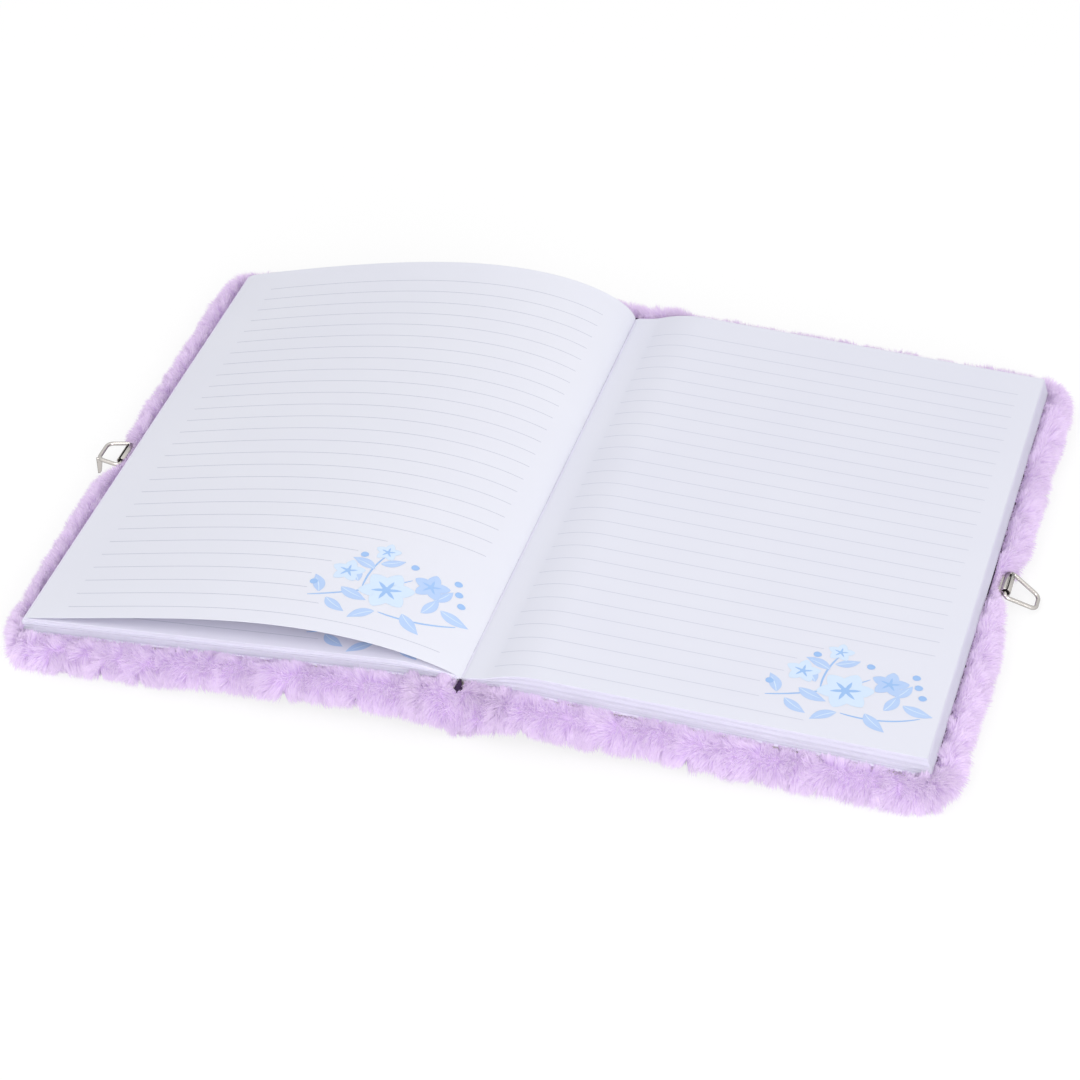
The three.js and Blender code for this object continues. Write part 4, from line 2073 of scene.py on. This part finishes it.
@dataclass
class LockLoop:
    """A rolled clip in the fore edge of a cover and the wire loop that swings in it.

    The barrel's axis lies at (u, w) in the half's plane, out by the reach from the page's
    fore edge, and the strip runs there from inside that edge. The loop is a trapezium that
    narrows from its base to its tip.
    """

    half: Half
    finishes: Finishes
    reach: float
    droop: float
    length: float
    tip: float
    tongue: bool = False
    wire: float = 0.7
    base: float = 13.5
    bend: float = 1.9
    barrel: float = 1.7
    sheet: float = 0.45
    half_clip: float = 4.6
    strip_in: float = 6.0
    half_strip: float = 0.28
    bevel: float = 0.1
    tongue_width: float = 2.1
    tongue_drop: float = 6.1
    tongue_thick: float = 0.6
    w: float = -0.75

    @property
    def u(self) -> float:
        """Distance of the barrel's axis from the leaf pivot."""
        return self.half.edge + self.reach

    def build(self) -> None:
        """Builds the clip and the loop."""
        self.clip()
        self.loop()

    def round_the_axis(self, radius: np.ndarray, angle: np.ndarray, y: np.ndarray) -> np.ndarray:
        """Gives points around the barrel's axis.

        Args:
            radius: Their distances from it, mm, one to a column.
            angle: Their angles, one to a row.
            y: Their places along it, one to a column.

        Returns:
            A grid of points, mm.
        """
        angle = angle[:, None]
        u = self.u + radius * np.cos(angle)
        return self.half.place(u, y + 0 * u, self.w + radius * np.sin(angle))

    def clip(self) -> None:
        """Builds the strip, rolled round to a barrel, with a near-black disc of painted shadow set
        into its hollow at both ends.
        """
        outer, inner = self.barrel, self.barrel - self.sheet
        angle = np.linspace(0.5 * math.pi, 2.36 * math.pi, 40)
        tail, head = LOOP_Y - self.half_clip, LOOP_Y + self.half_clip
        y = np.array([tail, tail + self.bevel, head - self.bevel, head])
        trim = np.array([self.bevel, 0, 0, self.bevel])
        into = Surface()
        into.grid(self.round_the_axis(outer - trim, angle, y))
        into.grid(self.round_the_axis(inner + trim, angle, y), flip=True)
        wall = np.array([inner + self.bevel, outer - self.bevel])
        for end in (tail, head):
            into.grid(self.round_the_axis(wall, angle, end), flip=end == head)
        # Painted shadow: near-black discs a little inside both ends darken the barrel's hollow
        full = np.linspace(0, 2 * math.pi, 25)
        shade_disc = np.array([inner - 0.02, 0.02])
        for end, inward in ((tail, 0.5), (head, -0.5)):
            into.grid(self.round_the_axis(shade_disc, full, end + inward), 1, flip=end == head)
        strip_u = (self.half.edge - self.strip_in, self.u)
        strip_y = (tail + self.bevel, head - self.bevel)
        u, y = lattice(strip_u, strip_y, rows=12, columns=6)
        over = self.half.place(u, y, np.full_like(u, self.w + self.half_strip))
        under = self.half.place(u, y, np.full_like(u, self.w - self.half_strip))
        into.slab(over, under)
        slots = [self.finishes.nickel, self.finishes.bore]
        made = into.build(f"{self.half.name}_rolled_clip", slots)
        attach(made, self.half.cover)
        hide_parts(f"{self.half.name}_loop_clip")

    def loop(self) -> None:
        """Builds the wire: a ring section carried round a trapezium with rounded corners."""
        half_base, half_tip = self.base / 2, self.tip / 2
        near = [(0, -half_base), (self.length, -half_tip)]
        far = [(self.length, half_tip), (0, half_base)]
        corners = np.array(near + far)
        line = []
        for i, corner in enumerate(corners):
            before, after = corners[i - 1], corners[(i + 1) % 4]
            enter = corner + unit(before - corner) * self.bend
            leave = corner + unit(after - corner) * self.bend
            pulls = [enter * 0.4 + corner * 0.6, leave * 0.4 + corner * 0.6]
            line.append(bezier([enter, *pulls, leave], count=14))
        line = np.vstack([*line, line[0][:1]])
        path = polyline(line, count=221)[:-1]
        lead = unit(np.roll(path, -1, 0) - np.roll(path, 1, 0))
        across = np.stack([lead[:, 1], -lead[:, 0]], 1)
        ring = np.linspace(0, 2 * math.pi, 17)[:-1]
        p = path[:, None] + self.wire * np.cos(ring)[None, :, None] * across[:, None]
        lift = self.wire * np.sin(ring)[None] + np.zeros((len(path), 1))
        tube = self.swung(p[..., 0], p[..., 1], lift)
        tube = np.concatenate([tube, tube[:1]])
        into = Surface()
        into.grid(tube.transpose(1, 0, 2), closed=True)
        if self.tongue:
            self.flat_end(into)
        made = into.build(f"{self.half.name}_bent_wire", [self.finishes.nickel])
        outward(made)
        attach(made, f"{self.half.name}_loop")
        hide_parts(f"{self.half.name}_wire_loop")

    def swung(self, out: np.ndarray, y: np.ndarray, up: np.ndarray) -> np.ndarray:
        """Turns points of the loop's own plane about the barrel and places them.

        Args:
            out: Distances from the barrel's axis, mm.
            y: Places along it.
            up: Heights over the loop's plane.

        Returns:
            The points, mm.
        """
        turn = self.droop - DROOP
        c, s = math.cos(turn), math.sin(turn)
        return self.half.place(
            self.u + out * c + up * s,
            LOOP_Y + y,
            self.w - out * s + up * c,
        )

    def flat_end(self, into: Surface) -> None:
        """Adds the flat tapered end that hangs under the loop's near outer corner.

        Args:
            into: The mesh that takes it.
        """
        outer = self.length + self.wire - 0.05
        t, v = lattice((0, 1), (0, 1), rows=16, columns=6)
        width = self.tongue_width - 1.0 * t - 0.9 * np.clip(t - 0.86, 0, 1) ** 2 * 30
        out = outer - 0.1 * t - width * v
        near = np.full_like(out, -self.tip / 2 - 0.3)
        up = 0.3 - self.tongue_drop * t
        into.slab(self.swung(out, near, up), self.swung(out, near + self.tongue_thick, up))


# Stage


@dataclass(frozen=True)
class Stage:
    """Pale floor, soft light and the camera at the photograph's angle."""

    lens: float = 119.11
    sensor: float = 36.0
    eye: tuple[float, float, float] = (0.27096, -0.91720, 0.68498)
    right: tuple[float, float, float] = (0.96162914, 0.27350505, -0.02154975)
    up: tuple[float, float, float] = (-0.14318831, 0.56733734, 0.81094109)
    back: tuple[float, float, float] = (0.23402247, -0.77673891, 0.58473084)
    floor_reach: float = 4.0
    floor_lit: float = 0.86
    floor_seen: float = 0.98
    floor_glow: float = 0.75
    ambient: float = 0.66

    def build(self) -> None:
        """Builds floor, light and camera."""
        self.floor()
        self.world()
        self.lamp("key", at=(-0.9, -1.3, 2.4), size=1.9, power=25.0)
        self.lamp("fill", at=(1.4, -2.1, 1.0), size=1.8, power=53.0)
        self.camera()

    def floor(self) -> None:
        """Builds a white floor that keeps a soft shadow. The camera sees it close to white."""
        n = Nodes(bpy.data.materials.new("pale_floor"))
        ray = n.add("LightPath").outputs
        lit, shown = (
            n.add("BsdfDiffuse", Color=(level, level, level, 1.0)).outputs[0]
            for level in (self.floor_lit, self.floor_seen)
        )
        white = n.add("Emission", Color=(1, 1, 1, 1), Strength=1.0).outputs[0]
        seen = n.blend(self.floor_glow, shown, white)
        direct = n.most(ray["Is Camera Ray"], ray["Is Glossy Ray"])
        r = self.floor_reach
        data = bpy.data.meshes.new("floor")
        data.from_pydata([(-r, -r, 0), (r, -r, 0), (r, r, 0), (-r, r, 0)], [], [(0, 1, 2, 3)])
        data.materials.append(n.finish(n.blend(direct, lit, seen)))
        link("floor", data)

    def world(self) -> None:
        """Builds the world: white where it is seen, and a plain grey level as light."""
        world = bpy.data.worlds.new("studio")
        bpy.context.scene.world = world
        n = Nodes(world)
        ray = n.add("LightPath").outputs
        seen = n.most(ray["Is Camera Ray"], ray["Is Glossy Ray"], ray["Is Transmission Ray"])
        level = n.add("MapRange", Value=seen, To_Min=self.ambient, To_Max=1.0)
        back = n.add("Background", Color=(1, 1, 1, 1), Strength=level.outputs[0])
        n.finish(back.outputs[0], "OutputWorld")

    def lamp(self, name: str, at: tuple[float, ...], size: float, power: float) -> None:
        """Builds a large square lamp that faces the book.

        Args:
            name: Its name.
            at: Its place, in metres.
            size: Length of its side, in metres.
            power: Its power in watts.
        """
        data = bpy.data.lights.new(name, "AREA")
        data.size = size
        data.energy = power
        back = unit(np.array(at))
        right = unit(np.cross([0, 0, 1], back))
        link(name, data).matrix_world = facing(at, right, np.cross(back, right), back)

    def camera(self) -> None:
        """Builds the camera, placed by a fit to the page's corners and rules."""
        data = bpy.data.cameras.new("camera")
        data.lens = self.lens
        data.sensor_width = self.sensor
        data.clip_end = 20.0
        made = link("camera", data)
        made.matrix_world = facing(self.eye, self.right, self.up, self.back)
        bpy.context.scene.camera = made


def facing(at: tuple[float, ...], *axes: np.ndarray) -> Matrix:
    """The matrix of a lamp or a camera, from its place and its right, up and back vectors."""
    rows = [(*(float(axis[k]) for axis in axes), 0.0) for k in range(3)]
    return Matrix.Translation(at) @ Matrix([*rows, (0, 0, 0, 1)])


def dress(frame: dict, finishes: Finishes) -> None:
    """Gives the CAD nodes that stay their materials.

    Args:
        finishes: The materials.
    """
    stay = {
        "front_board": finishes.board,
        "back_board": finishes.board,
        "spine_card": finishes.board,
        "spine_lining": finishes.lining,
        "front_pastedown": finishes.endpaper,
        "back_pastedown": finishes.endpaper,
    }
    for name, material in stay.items():
        data = frame["nodes"][name].data
        data.materials.clear()
        data.materials.append(material)
        LOG.info("%s: the CAD solid in %s", name, material.name)


def main() -> None:
    logging.basicConfig(level=logging.INFO, format="%(message)s")
    scene = bpy.context.scene
    for old in list(bpy.data.objects):
        bpy.data.objects.remove(old, do_unlink=True)
    scene.view_settings.view_transform = "Standard"
    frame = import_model()
    finishes = Finishes()
    dress(frame, finishes)
    front = Half(Side.FRONT, gatherings=3)
    back = Half(Side.BACK, gatherings=4)
    for half in (front, back):
        PageBlock(half, finishes).build()
        CoverPlush(half, finishes).build()
    FreeLeaf(front, finishes).build()
    SpinePlush(finishes).build()
    SpineParts(finishes).build()
    LockLoop(front, finishes, reach=5.6, droop=0.0, length=8.3, tip=9.2, tongue=True).build()
    LockLoop(back, finishes, reach=7.1, droop=math.radians(30), length=11.3, tip=6.8).build()
    Stage().build()


if __name__ == "__main__":
    main()
